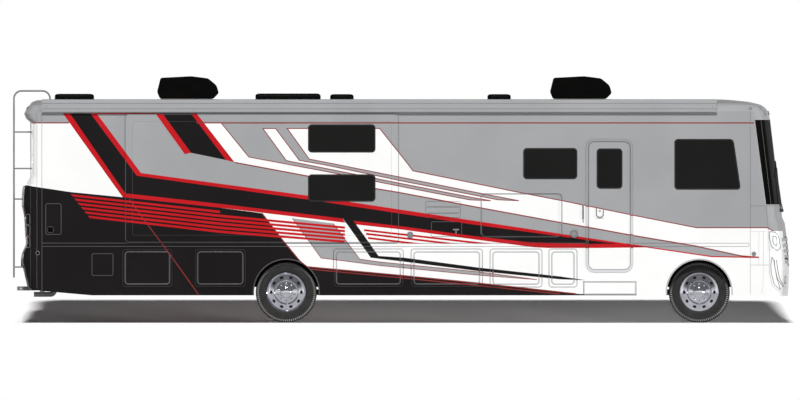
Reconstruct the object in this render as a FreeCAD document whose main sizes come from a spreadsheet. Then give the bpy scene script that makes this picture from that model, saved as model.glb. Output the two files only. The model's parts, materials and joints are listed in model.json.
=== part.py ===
import FreeCAD, Part
import math
import os
import Sketcher
from FreeCAD import Placement, Rotation, Vector

# A motorhome of the bus-fronted kind, 12 m long, standing on the ground at Z = 0.
# X runs forwards, Y to the vehicle's left, Z up. The origin is the middle of the overall box, at its bottom.

doc = FreeCAD.newDocument("Motorhome")
sheet = doc.addObject("Spreadsheet::Sheet", "Sizes")

# Driving dimensions in millimetres: name, size, what it is.
DIMENSIONS = [
    # Running gear
    ("frontAxleX", 4623, "front axle, ahead of the origin"),
    ("wheelbase", 6401, "front axle to rear axle"),
    ("tyreRadius", 473.5, "loaded tyre radius, 235/80 R22.5"),
    ("tyreWidth", 235, "tyre section width"),
    ("rimRadius", 290, "bead seat radius with its thickness"),
    ("rimLip", 302, "radius of the rim's lip"),
    ("rimThick", 14, "rim and disc thickness"),
    ("rimHalfWidth", 105, "half the width of the rim over its lips"),
    ("frontTrack", 2000, "between the front tyres' middles"),
    ("dualTrack", 1886, "between the middles of the twin wheels"),
    ("dualSpacing", 266, "between the tyres of a twin"),
    ("kingpinTrack", 1720, "between the kingpins"),
    ("kingpinRadius", 18, "kingpin"),
    ("pinPlay", 1, "radial play of pins and bearings"),
    ("dishRadius", 195, "inner radius of the dished part of a wheel disc"),
    ("hubRadius", 128, "wheel hub"),
    ("spindleRadius", 38, "wheel spindle"),
    ("handHoles", 10, "hand holes in a wheel disc"),
    ("handHoleRadius", 25, "radius of a hand hole"),
    ("handHoleCircle", 234, "radius of the circle of the hand holes"),
    ("movingGap", 6, "clearance between moving pieces"),
    # Frame
    ("frameWidth", 864, "over the frame rails"),
    ("railBottom", 560, "underside of the frame rails"),
    ("railHeight", 250, "frame rail height"),
    ("railFlange", 75, "frame rail flange width"),
    ("railThick", 8, "frame rail thickness"),
    ("railRear", -5700, "rear end of the rails"),
    ("railFront", 5600, "front end of the rails"),
    ("upperRailHeight", 60, "height of the tube that carries the floor"),
    ("uprightLength", 60, "length of an upright between the rails"),
    # House
    ("bodyWidth", 2560, "over the side walls"),
    ("bodyRear", -5568, "seam between side and rear cap"),
    ("bodyFront", 5413, "seam between side and front cap"),
    ("wallThick", 50, "side wall"),
    ("skirtThick", 30, "side skirt and bay doors"),
    ("skirtBottom", 425, "lower edge of the skirt"),
    ("skirtRise", 68, "how far the skirt rises at the rear end"),
    ("riseLength", 775, "length over which it rises"),
    ("belt", 1208, "seam between wall and skirt"),
    ("floorTop", 1200, "floor surface"),
    ("floorThick", 100, "floor slab"),
    ("wallTop", 3259, "upper edge of the side wall"),
    ("roofEdge", 3400, "roof height at its edge"),
    ("roofCrown", 3465, "roof height at the middle"),
    ("roofThick", 50, "roof slab"),
    ("roofWidth", 2400, "over the roof slab"),
    ("roofFront", 4895, "seam between roof and front cap"),
    ("capThick", 30, "thickness of the moulded caps"),
    ("seamGap", 0.3, "gap between fixed curved faces"),
    # Wheel arches
    ("archRadius", 500, "opening of a wheel arch"),
    ("linerRadius", 590, "radius of the wheel house"),
    ("linerThick", 5, "wheel house sheet"),
    ("linerInner", 560, "inner wall of a wheel house from the middle"),
    # Awnings
    ("awningOut", 60, "awning case beyond the wall"),
    ("awningTop", 3458, "top of the awning case"),
    ("awningEdge", 40, "round upper edge of the awning case"),
    # Entry
    ("doorFrameRear", 2861, "rear edge of the entry door frame"),
    ("doorFrameFront", 3601, "front edge of the entry door frame"),
    ("doorFrameBottom", 777, "bottom of the entry door frame"),
    ("doorFrameTop", 2854, "top of the entry door frame"),
    ("doorFrameWide", 47, "width of the frame around the leaf"),
    ("doorThick", 45, "entry door leaf"),
    ("doorCorner", 90, "corner radius of the entry door"),
    ("stepRear", 2829, "rear end of the step's front panel"),
    ("stepFront", 3642, "front end of the step's front panel"),
    ("stepBottom", 438, "bottom of the step's front panel"),
    ("stepTop", 636, "top of the step's front panel"),
    ("stepDepth", 420, "depth of the sliding tread"),
    ("wellInner", 640, "inner wall of the step well from the middle"),
    # Slide-outs
    ("slideBottom", 1241, "lower edge of the slide-out flange"),
    ("slideTop", 3235, "upper edge of the slide-out flange"),
    ("rightSlideRear", -4278, "rear edge of the right slide-out flange"),
    ("rightSlideFront", -31, "front edge of the right slide-out flange"),
    ("leftSlideRear", -1350, "rear edge of the left slide-out flange"),
    ("leftSlideFront", 2650, "front edge of the left slide-out flange"),
    ("flangeOverlap", 40, "slide-out flange over the wall"),
    ("flangeThick", 14, "slide-out flange"),
    ("slideWall", 30, "walls of the slide-out box"),
    ("slideDepth", 700, "depth of the slide-out box"),
    ("fasciaInset", 116, "moulded frame on the slide-out face"),
    # Windows
    ("glassThick", 8, "window panes"),
    ("windowCorner", 60, "corner radius of the side windows"),
    ("slideWindowRear", -1441.5, "rear edge of the slide-out windows"),
    ("slideWindowFront", -395, "front edge of the slide-out windows"),
    ("upperWindowBottom", 2637, "upper slide-out window, bottom"),
    ("upperWindowTop", 3076, "upper slide-out window, top"),
    ("lowerWindowBottom", 1876, "lower slide-out window, bottom"),
    ("lowerWindowTop", 2301, "lower slide-out window, top"),
    ("sideWindowRear", 1893, "side window, rear edge"),
    ("sideWindowFront", 2734, "side window, front edge"),
    ("sideWindowBottom", 2224, "side window, bottom"),
    ("sideWindowTop", 2709, "side window, top"),
    ("cabWindowRear", 4236, "cab window, rear edge"),
    ("cabWindowFront", 5270, "cab window, front edge at its bottom"),
    ("cabWindowLean", 115, "how far the cab window's front edge leans back"),
    ("cabWindowBottom", 2061, "cab window, bottom"),
    ("cabWindowTop", 2850, "cab window, top"),
    ("doorWindowRear", 3032, "entry door window, rear edge"),
    ("doorWindowFront", 3433, "entry door window, front edge"),
    ("doorWindowBottom", 2076, "entry door window, bottom"),
    ("doorWindowTop", 2702, "entry door window, top"),
    # Bays
    ("bayBottom", 554, "lower edge of the bay doors"),
    ("bayTop", 1143, "upper edge of the bay doors"),
    ("bayCorner", 45, "corner radius of the bay doors"),
    ("baySheet", 8, "walls of the storage bays"),
    ("bayInner", 640, "inner wall of the storage bays from the middle"),
    ("hatchRear", 1235, "side hatch, rear edge"),
    ("hatchFront", 2502, "side hatch, front edge"),
    ("hatchBottom", 1321, "side hatch, bottom"),
    ("hatchTop", 2006, "side hatch, top"),
    ("hatchThick", 25, "side hatch leaf"),
    ("hatchCorner", 70, "corner radius of the side hatch"),
    # Windshield
    ("glassTopX", 5482, "side edge of the windshield at its top"),
    ("glassBottomX", 5656, "side edge of the windshield at its bottom"),
    ("glassTop", 3148, "top of the windshield"),
    ("glassBottom", 1831, "bottom of the windshield"),
    # Ladder
    ("ladderX", -6000, "ladder rails, middle"),
    ("ladderTube", 14, "radius of the ladder tube"),
    ("ladderNear", 600, "near rail, right of the middle"),
    ("ladderWide", 350, "between the ladder rails"),
    ("ladderFoot", 701, "foot of the ladder"),
    ("ladderTop", 3594, "top of the ladder hoops"),
    # Roof gear
    ("coolerTop", 3822, "top of the air conditioner shrouds"),
    ("coolerWide", 760, "air conditioner width"),
    ("rearCoolerX", -3782, "rear air conditioner, rear end"),
    ("frontCoolerX", 2308, "front air conditioner, rear end"),
    ("coolerLong", 960, "air conditioner length"),
]


class Size:
    # A number that keeps the formula it came from, so that a feature can be bound to that formula.

    def __init__(self, value, formula):
        self.value = float(value)
        self.formula = formula

    def __float__(self):
        return self.value

    def __neg__(self):
        return Size(-self.value, "-(" + self.formula + ")")

    def __add__(self, other):
        return Size(self.value + float(other), "(" + self.formula + " + " + formulaOf(other) + ")")

    def __radd__(self, other):
        return self + other

    def __sub__(self, other):
        return Size(self.value - float(other), "(" + self.formula + " - " + formulaOf(other) + ")")

    def __rsub__(self, other):
        return -self + other

    def __mul__(self, other):
        return Size(self.value * float(other), "(" + self.formula + " * " + formulaOf(other) + ")")

    def __rmul__(self, other):
        return self * other

    def __truediv__(self, other):
        return Size(self.value / float(other), "(" + self.formula + " / " + formulaOf(other) + ")")


def formulaOf(amount):
    return amount.formula if isinstance(amount, Size) else repr(float(amount))


class Table:
    pass


s = Table()
for row, (word, number, meaning) in enumerate(DIMENSIONS, start=1):
    sheet.set("A%d" % row, meaning)
    sheet.set("B%d" % row, str(number))
    sheet.setAlias("B%d" % row, word)
    setattr(s, word, Size(number, "Sizes." + word))
doc.recompute()

nodes = []


# Helpers: every one binds what it makes to the sheet through the formulas of its sizes.

def keep(item, label):
    # Marks an object as a sub-part; its label names its file.
    item.Label = label
    nodes.append(item)
    return item


def place(item, x, y, z):
    item.setExpression("Placement.Base.x", formulaOf(x))
    item.setExpression("Placement.Base.y", formulaOf(y))
    item.setExpression("Placement.Base.z", formulaOf(z))


def block(name, x0, x1, y0, y1, z0, z1):
    # A box between two corners.
    item = doc.addObject("Part::Box", name)
    item.setExpression("Length", formulaOf(x1 - x0))
    item.setExpression("Width", formulaOf(y1 - y0))
    item.setExpression("Height", formulaOf(z1 - z0))
    place(item, x0, y0, z0)
    return item


AXIS_TURN = {
    "x": Rotation(Vector(0, 0, 1), Vector(1, 0, 0)),
    "y": Rotation(Vector(0, 0, 1), Vector(0, 1, 0)),
    "z": Rotation(),
}


def rod(name, axis, x, y, z, radius, length):
    # A cylinder from its start point along one axis.
    item = doc.addObject("Part::Cylinder", name)
    item.setExpression("Radius", formulaOf(radius))
    item.setExpression("Height", formulaOf(length))
    item.Placement = Placement(Vector(0, 0, 0), AXIS_TURN[axis])
    place(item, x, y, z)
    return item


def fuse(name, parts):
    item = doc.addObject("Part::MultiFuse", name)
    item.Shapes = parts
    return item


def cut(name, base, tools):
    item = doc.addObject("Part::Cut", name)
    item.Base = base
    item.Tool = tools[0] if len(tools) == 1 else fuse(name + "Tools", tools)
    return item


def common(name, first, second):
    item = doc.addObject("Part::Common", name)
    item.Base = first
    item.Tool = second
    return item


def mirrored(name, source):
    # The same piece on the other side of the middle plane.
    item = doc.addObject("Part::Mirroring", name)
    item.Source = source
    item.Normal = Vector(0, 1, 0)
    item.Base = Vector(0, 0, 0)
    return item


def group(name, parts):
    # Several solids of one sub-part that don't touch each other.
    item = doc.addObject("Part::Compound", name)
    item.Links = parts
    return item


def sketchOn(body, name, role, offset, across=0.0, up=0.0):
    # A sketch parallel to one of the body's planes. XZ faces -Y, YZ faces +X, XY faces +Z.
    sketch = body.newObject("Sketcher::SketchObject", name)
    plane = [o for o in body.Origin.OriginFeatures if o.Role == role + "_Plane"][0]
    sketch.AttachmentSupport = (plane, [""])
    sketch.MapMode = "FlatFace"
    sketch.setExpression("AttachmentOffset.Base.x", formulaOf(across))
    sketch.setExpression("AttachmentOffset.Base.y", formulaOf(up))
    sketch.setExpression("AttachmentOffset.Base.z", formulaOf(offset))
    return sketch


def pin(sketch, edge, end, u, v):
    # Ties one end of an edge to the sketch's origin.
    for kind, amount in (("DistanceX", u), ("DistanceY", v)):
        index = sketch.addConstraint(Sketcher.Constraint(kind, -1, 1, edge, end, float(amount)))
        sketch.setExpression("Constraints[%d]" % index, formulaOf(amount))


def path(sketch, points):
    # A closed outline. A point is (u, v), or (u, v, r) where the edge that leaves it is an arc of
    # radius r: centre on the left for r > 0 (a turn to the left), on the right for r < 0.
    ends = []
    for i, point in enumerate(points):
        after = points[(i + 1) % len(points)]
        a = Vector(float(point[0]), float(point[1]), 0)
        b = Vector(float(after[0]), float(after[1]), 0)
        if len(point) == 2:
            edge = sketch.addGeometry(Part.LineSegment(a, b))
            ends.append((edge, 1, 2))
            continue
        radius = float(point[2])
        half = (b - a) * 0.5
        side = Vector(-half.y, half.x, 0).normalize() * math.copysign(1, radius)
        centre = a + half + side * math.sqrt(max(radius ** 2 - half.Length ** 2, 0.0))
        start = math.atan2(a.y - centre.y, a.x - centre.x)
        stop = math.atan2(b.y - centre.y, b.x - centre.x)
        if radius < 0:
            start, stop = stop, start
        if stop < start:
            stop += 2 * math.pi
        circle = Part.Circle(centre, Vector(0, 0, 1), abs(radius))
        edge = sketch.addGeometry(Part.ArcOfCircle(circle, start, stop))
        ends.append((edge, 1, 2) if radius > 0 else (edge, 2, 1))
    for i, (edge, begin, finish) in enumerate(ends):
        follower = ends[(i + 1) % len(ends)]
        sketch.addConstraint(Sketcher.Constraint("Coincident", edge, finish, follower[0], follower[1]))
        pin(sketch, edge, begin, points[i][0], points[i][1])
        if len(points[i]) == 3:
            radius = points[i][2]
            radius = radius if float(radius) > 0 else -radius
            index = sketch.addConstraint(Sketcher.Constraint("Radius", edge, float(radius)))
            sketch.setExpression("Constraints[%d]" % index, formulaOf(radius))


def roundedRectangle(u0, u1, v0, v1, r):
    # The points of a rectangle with round corners, for path().
    return [
        (u0 + r, v0), (u1 - r, v0, r), (u1, v0 + r), (u1, v1 - r, r),
        (u1 - r, v1), (u0 + r, v1, r), (u0, v1 - r), (u0, v0 + r, r),
    ]


def rounded(points, r):
    # The points of a polygon with all its corners rounded, for path(). The polygon runs counter-clockwise.
    corners = []
    for i, (u, v) in enumerate(points):
        here = Vector(float(u), float(v), 0)
        before = Vector(float(points[i - 1][0]), float(points[i - 1][1]), 0) - here
        after = Vector(float(points[(i + 1) % len(points)][0]), float(points[(i + 1) % len(points)][1]), 0) - here
        before.normalize()
        after.normalize()
        half = before.getAngle(after) / 2
        left = before.x * after.y - before.y * after.x < 0
        radius = r * math.tan(half) * (1 if left else -1)
        corners.append((u + r * before.x, v + r * before.y, radius))
        corners.append((u + r * after.x, v + r * after.y))
    return corners


def ring(sketch, u, v, radius):
    # A full circle.
    edge = sketch.addGeometry(Part.Circle(Vector(float(u), float(v), 0), Vector(0, 0, 1), float(radius)))
    pin(sketch, edge, 3, u, v)
    index = sketch.addConstraint(Sketcher.Constraint("Radius", edge, float(radius)))
    sketch.setExpression("Constraints[%d]" % index, formulaOf(radius))


def panel(name, role, offset, thick, outlines):
    # A flat piece: outlines drawn on a plane and padded. The first outline is the edge, others are holes.
    body = doc.addObject("PartDesign::Body", name)
    sketch = sketchOn(body, name + "Outline", role, offset)
    for outline in outlines:
        path(sketch, outline)
    pad = body.newObject("PartDesign::Pad", name + "Pad")
    pad.Profile = sketch
    pad.setExpression("Length", formulaOf(thick))
    return body


def turned(name, x, z, outline):
    # A body of revolution about an axis along Y through (x, z). The outline is in (y, radius).
    body = doc.addObject("PartDesign::Body", name)
    sketch = sketchOn(body, name + "Profile", "YZ", x, 0.0, z)
    path(sketch, outline)
    turn = body.newObject("PartDesign::Revolution", name + "Turn")
    turn.Profile = sketch
    turn.ReferenceAxis = (sketch, ["H_Axis"])
    turn.Angle = 360
    return body, sketch, turn


# Places that several sub-parts share.
wallOut = s.bodyWidth / 2
wallIn = wallOut - s.wallThick
skirtIn = wallOut - s.skirtThick
rearAxleX = s.frontAxleX - s.wheelbase
axleZ = s.tyreRadius
railOut = s.frameWidth / 2
railTop = s.railBottom + s.railHeight
floorBottom = s.floorTop - s.floorThick
gap = s.movingGap
awningY = wallOut + s.awningOut


# Frame: two channel rails, cross-members between them, uprights and the tubes that carry the floor.
CROSS_MEMBERS = (-5500, -4300, -3000, -900, 500, 2000, 3600)
UPRIGHTS = (-5400, -4400, -3400, -2600, -1100, -200, 800, 1800, 2800, 3600, 4300)


def frameRails():
    parts = []
    for side in (-1, 1):
        outer = railOut * side
        web = outer - s.railThick * side
        toe = outer - s.railFlange * side
        low = s.railBottom
        outline = [
            (outer, low), (toe, low), (toe, low + s.railThick), (web, low + s.railThick),
            (web, railTop - s.railThick), (toe, railTop - s.railThick), (toe, railTop), (outer, railTop),
        ]
        parts.append(panel("rail", "YZ", s.railRear, s.railFront - s.railRear, [outline]))
        near, far = (outer, toe) if side < 0 else (toe, outer)
        tubeLow = floorBottom - s.upperRailHeight
        parts.append(block("floorTube", s.railRear, s.railFront, near, far, tubeLow, floorBottom))
        for x in UPRIGHTS:
            parts.append(block("upright", x, x + s.uprightLength, near, far, railTop, tubeLow))
    for x in CROSS_MEMBERS:
        parts.append(block(
            "crossMember", x, x + s.railFlange, s.railThick - railOut, railOut - s.railThick,
            railTop - s.railHeight / 2, railTop - s.railThick * 2))
    keep(fuse("frameRails", parts), "frame_rails")


# Floor slab with the step well of the entry beside it.
def floorSlab():
    slab = block("slab", s.bodyRear, s.bodyFront, -wallIn, wallIn, floorBottom, s.floorTop)
    hole = block(
        "wellHole", s.doorFrameRear + s.doorFrameWide, s.doorFrameFront - s.doorFrameWide,
        -wallIn - 1, -s.wellInner, floorBottom - 1, s.floorTop + 1)
    well = []
    x0 = s.doorFrameRear + s.doorFrameWide - s.baySheet
    x1 = s.doorFrameFront - s.doorFrameWide + s.baySheet
    low = s.doorFrameBottom + s.doorFrameWide - s.baySheet
    well.append(block("wellBottom", x0, x1, -wallIn, -s.wellInner + s.baySheet, low, low + s.baySheet))
    well.append(block("wellBack", x0, x1, -s.wellInner, -s.wellInner + s.baySheet, low, floorBottom))
    for x in (x0, x1 - s.baySheet):
        well.append(block("wellSide", x, x + s.baySheet, -wallIn, -s.wellInner, low, floorBottom))
    middle = (wallIn + s.wellInner) / 2
    well.append(block(
        "wellStep", x0, x1, -middle, -s.wellInner, low, (low + s.floorTop) / 2))
    pieces = [cut("openSlab", slab, [hole])] + well + slideRunners() + stepCase()
    keep(fuse("floorSlab", pieces), "floor")


# The entry doorway: one outline for the frame, the leaf and what is cut for them.
def doorOutline(inset):
    return roundedRectangle(
        s.doorFrameRear + inset, s.doorFrameFront - inset,
        s.doorFrameBottom + inset, s.doorFrameTop - inset,
        s.doorCorner + s.doorFrameWide - inset)


def slideOpening(rear, front):
    lap = s.flangeOverlap
    return roundedRectangle(rear + lap, front - lap, s.slideBottom + lap, s.slideTop - lap, s.windowCorner / 2)


def cabWindowOutline(inset):
    low = s.cabWindowBottom + inset
    high = s.cabWindowTop - inset
    return rounded([
        (s.cabWindowRear + inset, low), (s.cabWindowFront - inset, low),
        (s.cabWindowFront - s.cabWindowLean - inset, high), (s.cabWindowRear + inset, high),
    ], s.windowCorner - inset)


def windowOutline(rear, front, low, high, inset):
    return roundedRectangle(rear + inset, front - inset, low + inset, high - inset, s.windowCorner - inset)


def rightWindow(inset):
    return windowOutline(s.sideWindowRear, s.sideWindowFront, s.sideWindowBottom, s.sideWindowTop, inset)


def leftWindow(inset):
    # The bedroom window, as high and as long as its mate on the other side.
    long = s.sideWindowFront - s.sideWindowRear
    rear = s.rightSlideRear + s.flangeOverlap
    return windowOutline(rear, rear + long, s.sideWindowBottom, s.sideWindowTop, inset)


def hatchOutline(inset):
    return roundedRectangle(
        s.hatchRear + inset, s.hatchFront - inset, s.hatchBottom + inset, s.hatchTop - inset,
        s.hatchCorner - inset)


def sideWalls():
    edge = [
        (s.bodyRear, s.belt), (s.bodyFront, s.belt), (s.bodyFront, s.wallTop), (s.bodyRear, s.wallTop),
    ]
    rightSlide = slideOpening(s.rightSlideRear, s.rightSlideFront)
    leftSlide = slideOpening(s.leftSlideRear, s.leftSlideFront)
    right = panel("rightPanel", "XZ", wallIn, s.wallThick, [edge, rightSlide, rightWindow(0.0), cabWindowOutline(0.0)])
    recess = panel("hatchRecess", "XZ", wallOut - s.hatchThick - gap, s.wallThick, [hatchOutline(0.0)])
    keep(cut("rightWall", right, [doorCut, recess]), "right_wall")
    left = panel("leftPanel", "XZ", -wallOut, s.wallThick, [edge, leftSlide, leftWindow(0.0), cabWindowOutline(0.0)])
    keep(left, "left_wall")


# Bay doors: rear edge, front edge. The left side has fewer.
RIGHT_BAYS = ((-4321, -3543), (-3198, -2407), (-1045, 34), (157, 1262), (1381, 2185), (2294, 2728))
LEFT_BAYS = ((-1045, 34), (157, 1262))
# Which bays share one tray: first and last of each run.
RIGHT_RUNS = ((0, 1), (2, 5))
LEFT_RUNS = ((0, 1),)


def bayOutline(rear, front, inset):
    return roundedRectangle(rear + inset, front - inset, s.bayBottom + inset, s.bayTop - inset, s.bayCorner - inset)


def archTool(x):
    circle = rod("archRound", "y", x, -wallOut * 2, axleZ, s.archRadius, wallOut * 4)
    legs = block("archLegs", x - s.archRadius, x + s.archRadius, -wallOut * 2, wallOut * 2, 0.0, axleZ)
    return [circle, legs]


def skirts():
    edge = [
        (s.bodyRear, s.skirtBottom + s.skirtRise), (s.bodyRear + s.riseLength, s.skirtBottom),
        (s.bodyFront, s.skirtBottom), (s.bodyFront, s.belt), (s.bodyRear, s.belt),
    ]
    arches = archTool(rearAxleX) + archTool(s.frontAxleX)
    ledgeLow = s.bayTop + gap * 2
    for label, bays, offset, y0, y1 in (
        ("right_skirt", RIGHT_BAYS, skirtIn, -skirtIn, -wallIn), ("left_skirt", LEFT_BAYS, -wallOut, wallIn, skirtIn),
    ):
        holes = [bayOutline(rear, front, -gap) for rear, front in bays]
        sheetPart = panel(label + "Sheet", "XZ", offset, s.skirtThick, [edge] + holes)
        ledge = block(label + "Ledge", s.bodyRear, s.bodyFront, y0, y1, ledgeLow, s.belt)
        tools = list(arches)
        if label == "right_skirt":
            tools.append(doorCut)
            tools.append(block(
                "stepNotch", s.stepRear - gap, s.stepFront + gap, -wallOut - 1, -skirtIn + 1,
                s.skirtBottom - 1, s.stepTop + gap))
        keep(cut(label + "Cut", fuse(label + "Solid", [sheetPart, ledge]), tools), label)


# Crowned roof slab with a ledge on each side that lies on the wall.
def crownRadius(halfWidth, rise):
    return halfWidth * halfWidth / (rise * 2) + rise / 2


def roofSlab():
    half = s.roofWidth / 2
    outer = crownRadius(half, s.roofCrown - s.roofEdge)
    inner = outer - s.roofThick
    innerHalf = half - s.roofThick
    innerEdge = s.roofCrown - s.roofThick - (float(inner) - math.sqrt(float(inner) ** 2 - float(innerHalf) ** 2))
    ledge = s.wallTop + s.roofThick / 2
    outline = [
        (-wallOut, s.wallTop), (-innerHalf, s.wallTop), (-innerHalf, innerEdge, -inner), (innerHalf, innerEdge),
        (innerHalf, s.wallTop), (wallOut, s.wallTop), (wallOut, ledge), (half, ledge),
        (half, s.roofEdge, outer), (-half, s.roofEdge), (-half, ledge), (-wallOut, ledge),
    ]
    keep(panel("roofSlab", "YZ", s.bodyRear, s.roofFront - s.bodyRear, [outline]), "roof")


def awningCases():
    # A case lies on the roof's ledge, and its outer edges are round.
    half = s.roofWidth / 2
    ledge = s.wallTop + s.roofThick / 2
    lip = s.wallTop + s.seamGap * 10
    r = s.awningEdge
    outline = [
        (-awningY, lip), (-wallOut, lip), (-wallOut, ledge), (-half, ledge), (-half, s.awningTop),
        (r - awningY, s.awningTop, r), (-awningY, s.awningTop - r),
    ]
    right = panel("rightAwning", "YZ", s.bodyRear, s.roofFront - s.bodyRear, [outline])
    keep(group("awnings", [right, mirrored("leftAwning", right)]), "awnings")


# Sections across the moulded caps: straight sides, round corners and a slightly bowed end.
def capOutline(z, startX, noseX, halfWidth, corner, bow):
    direction = 1 if noseX > startX else -1
    reach = abs(noseX - startX)
    chord = halfWidth - corner
    round_ = (chord ** 2 + bow ** 2) / (2 * bow)
    cornerX = reach - round_ + math.sqrt((round_ - corner) ** 2 - (halfWidth - corner) ** 2)
    middleX = reach - round_
    toward = Vector(cornerX - middleX, halfWidth - corner, 0).normalize()
    joint = Vector(middleX, 0, 0) + toward * round_
    swing = math.atan2(toward.y, toward.x)
    mid = (swing + math.pi / 2) / 2
    bend = Vector(cornerX + corner * math.cos(mid), halfWidth - corner + corner * math.sin(mid), 0)

    def at(x, y):
        return Vector(startX + direction * x, y, z)

    edges = [
        Part.LineSegment(at(0, -halfWidth), at(cornerX, -halfWidth)).toShape(),
        Part.Arc(at(cornerX, -halfWidth), at(bend.x, -bend.y), at(joint.x, -joint.y)).toShape(),
        Part.Arc(at(joint.x, -joint.y), at(reach, 0), at(joint.x, joint.y)).toShape(),
        Part.Arc(at(joint.x, joint.y), at(bend.x, bend.y), at(cornerX, halfWidth)).toShape(),
        Part.LineSegment(at(cornerX, halfWidth), at(0, halfWidth)).toShape(),
        Part.LineSegment(at(0, halfWidth), at(0, -halfWidth)).toShape(),
    ]
    return Part.Wire(edges)


def between(profile, z):
    # The profile's X at a height, straight between its points.
    for (x0, z0), (x1, z1) in zip(profile, profile[1:]):
        if z0 <= z <= z1:
            return x0 + (x1 - x0) * (z - z0) / (z1 - z0)
    return profile[0][0] if z < profile[0][1] else profile[-1][0]


def lofted(sections):
    return Part.makeLoft(sections, True, True)


# Front cap: the nose profile along the middle plane, from below upwards, as X and Z.
NOSE = (
    (5985, 395), (5993, 418), (6008, 640), (6014, 821), (6003, 1050), (5983, 1278), (5968, 1410),
    (5950, 1538), (5906, 1639), (5895, 1779), (5878, 1831), (5838, 2160), (5799, 2490), (5760, 2820), (5721, 3148),
    (5706, 3215), (5689, 3279), (5640, 3335), (5580, 3377), (5485, 3403), (5385, 3425), (5166, 3448),
    (4990, 3461), (4898, 3465),
)
NOSE_BOW = 80
NOSE_CORNER = 180
BROW_WIDTHS = ((1280, 3200), (1276, 3300), (1255, 3345), (1228, 3377), (1200, 3400), (943, 3425), (614, 3448), (298, 3461))


def frontSection(z, startX, shrink):
    nose = min(between(NOSE, z) - shrink, between(NOSE, z + shrink))
    half = min(between(BROW_WIDTHS, z) - shrink, between(BROW_WIDTHS, z + shrink))
    reach = nose - float(s.roofFront)
    corner = min(NOSE_CORNER - shrink, half * 0.5, reach * 0.4)
    bow = min(NOSE_BOW * half / float(wallOut), reach * 0.3)
    return capOutline(z, startX, nose, half, corner, bow)


def frontLoft(shrink, low, overlap):
    # The outer or inner form of the front cap: nose and brow.
    heights = [z for x, z in NOSE if low <= z]
    cheek = float(s.wallTop)
    body = [low] + [z for z in heights if low < z < cheek] + [cheek]
    brow = [cheek] + [z for z in heights if cheek < z < 3461 - shrink] + [3461 - shrink]
    nose = lofted([frontSection(z, float(s.bodyFront) - overlap, shrink) for z in body])
    top = lofted([frontSection(z, float(s.roofFront) - overlap, shrink) for z in brow])
    return nose.fuse(top)


def windshieldPrism(inset):
    # What the windshield takes out of the cap, seen from the side, across the whole width.
    low = float(s.glassBottom) + inset
    high = float(s.glassTop) - inset
    ahead = 6200
    points = [
        Vector(float(s.glassBottomX) + inset, -1500, low), Vector(ahead, -1500, low),
        Vector(ahead, -1500, high), Vector(float(s.glassTopX) + inset, -1500, high),
    ]
    face = Part.Face(Part.makePolygon(points + points[:1]))
    return face.extrude(Vector(0, 3000, 0))


def solid(label, shape):
    item = doc.addObject("Part::Feature", label)
    item.Shape = shape
    item.Placement = Placement()
    return keep(item, label)


# Headlights wrap round the front corners.
LAMP_REAR, LAMP_LOW, LAMP_HIGH, LAMP_IN = 5673, 1110, 1422, 900
GRILLE_HALF, GRILLE_LOW, GRILLE_HIGH = 520, 880, 1340
SCREEN_HALF, SCREEN_LOW, SCREEN_HIGH = 620, 480, 700


def frontCap():
    thick = float(s.capThick)
    outer = frontLoft(0, 418, 0)
    inner = frontLoft(thick, 400, 20)
    shell = outer.cut(inner)
    for side in (-1, 1):
        lampBox = Part.makeBox(
            400, 400, LAMP_HIGH - LAMP_LOW, Vector(LAMP_REAR, LAMP_IN if side > 0 else -LAMP_IN - 400, LAMP_LOW))
        shell = shell.cut(lampBox)
    shell = shell.cut(Part.makeBox(
        400, 2 * GRILLE_HALF, GRILLE_HIGH - GRILLE_LOW, Vector(5800, -GRILLE_HALF, GRILLE_LOW)))
    shell = shell.cut(windshieldPrism(0))
    solid("front_cap", shell)
    glassInner = frontLoft(float(s.glassThick), 1700, 20)
    pane = outer.common(windshieldPrism(float(s.seamGap) * 5)).cut(glassInner)
    solid("windshield", pane)
    deep = frontLoft(thick, 900, 20)
    lamps = []
    for side in (-1, 1):
        lampBox = Part.makeBox(
            400, 400, LAMP_HIGH - LAMP_LOW, Vector(LAMP_REAR, LAMP_IN if side > 0 else -LAMP_IN - 400, LAMP_LOW))
        lamps.append(outer.common(lampBox).cut(deep))
    solid("headlights", Part.makeCompound(lamps))
    bars = []
    core = frontLoft(thick, 700, 20)
    for i in range(7):
        z = GRILLE_LOW + 12 + i * 66
        bar = Part.makeBox(400, 2 * GRILLE_HALF, 28, Vector(5800, -GRILLE_HALF, z))
        bars.append(outer.common(bar).cut(core))
    for y in (-GRILLE_HALF, -14, GRILLE_HALF - 28):
        post = Part.makeBox(400, 28, GRILLE_HIGH - GRILLE_LOW, Vector(5800, y, GRILLE_LOW))
        bars.append(outer.common(post).cut(core))
    solid("grille", bars[0].multiFuse(bars[1:]))


# Rear cap: the tail profile along the middle plane, from below upwards.
TAIL = (
    (-5741, 508), (-5791, 554), (-5859, 849), (-5890, 988), (-5879, 1066), (-5811, 1224), (-5827, 1382),
    (-5841, 1639), (-5859, 1738), (-5879, 1817), (-5877, 1996), (-5863, 2113), (-5800, 2135), (-5791, 2176),
    (-5741, 2275), (-5741, 3104), (-5811, 3163), (-5844, 3242), (-5811, 3302), (-5760, 3372), (-5721, 3420),
    (-5640, 3450), (-5583, 3463),
)
TAIL_BOW = 20
TAIL_CORNER = 120
TAIL_WIDTHS = ((1280, 3200), (1276, 3290), (1250, 3345), (1225, 3377), (1200, 3400), (943, 3425), (614, 3448), (200, 3463))


def rearSection(z, shrink, overlap):
    start = float(s.bodyRear) + overlap
    tail = max(between(TAIL, z) + shrink, between(TAIL, z + shrink))
    half = min(between(TAIL_WIDTHS, z) - shrink, between(TAIL_WIDTHS, z + shrink))
    reach = start - tail
    return capOutline(z, start, tail, half, min(TAIL_CORNER - shrink, half * 0.5, reach * 0.6), min(TAIL_BOW, reach * 0.3))


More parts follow.
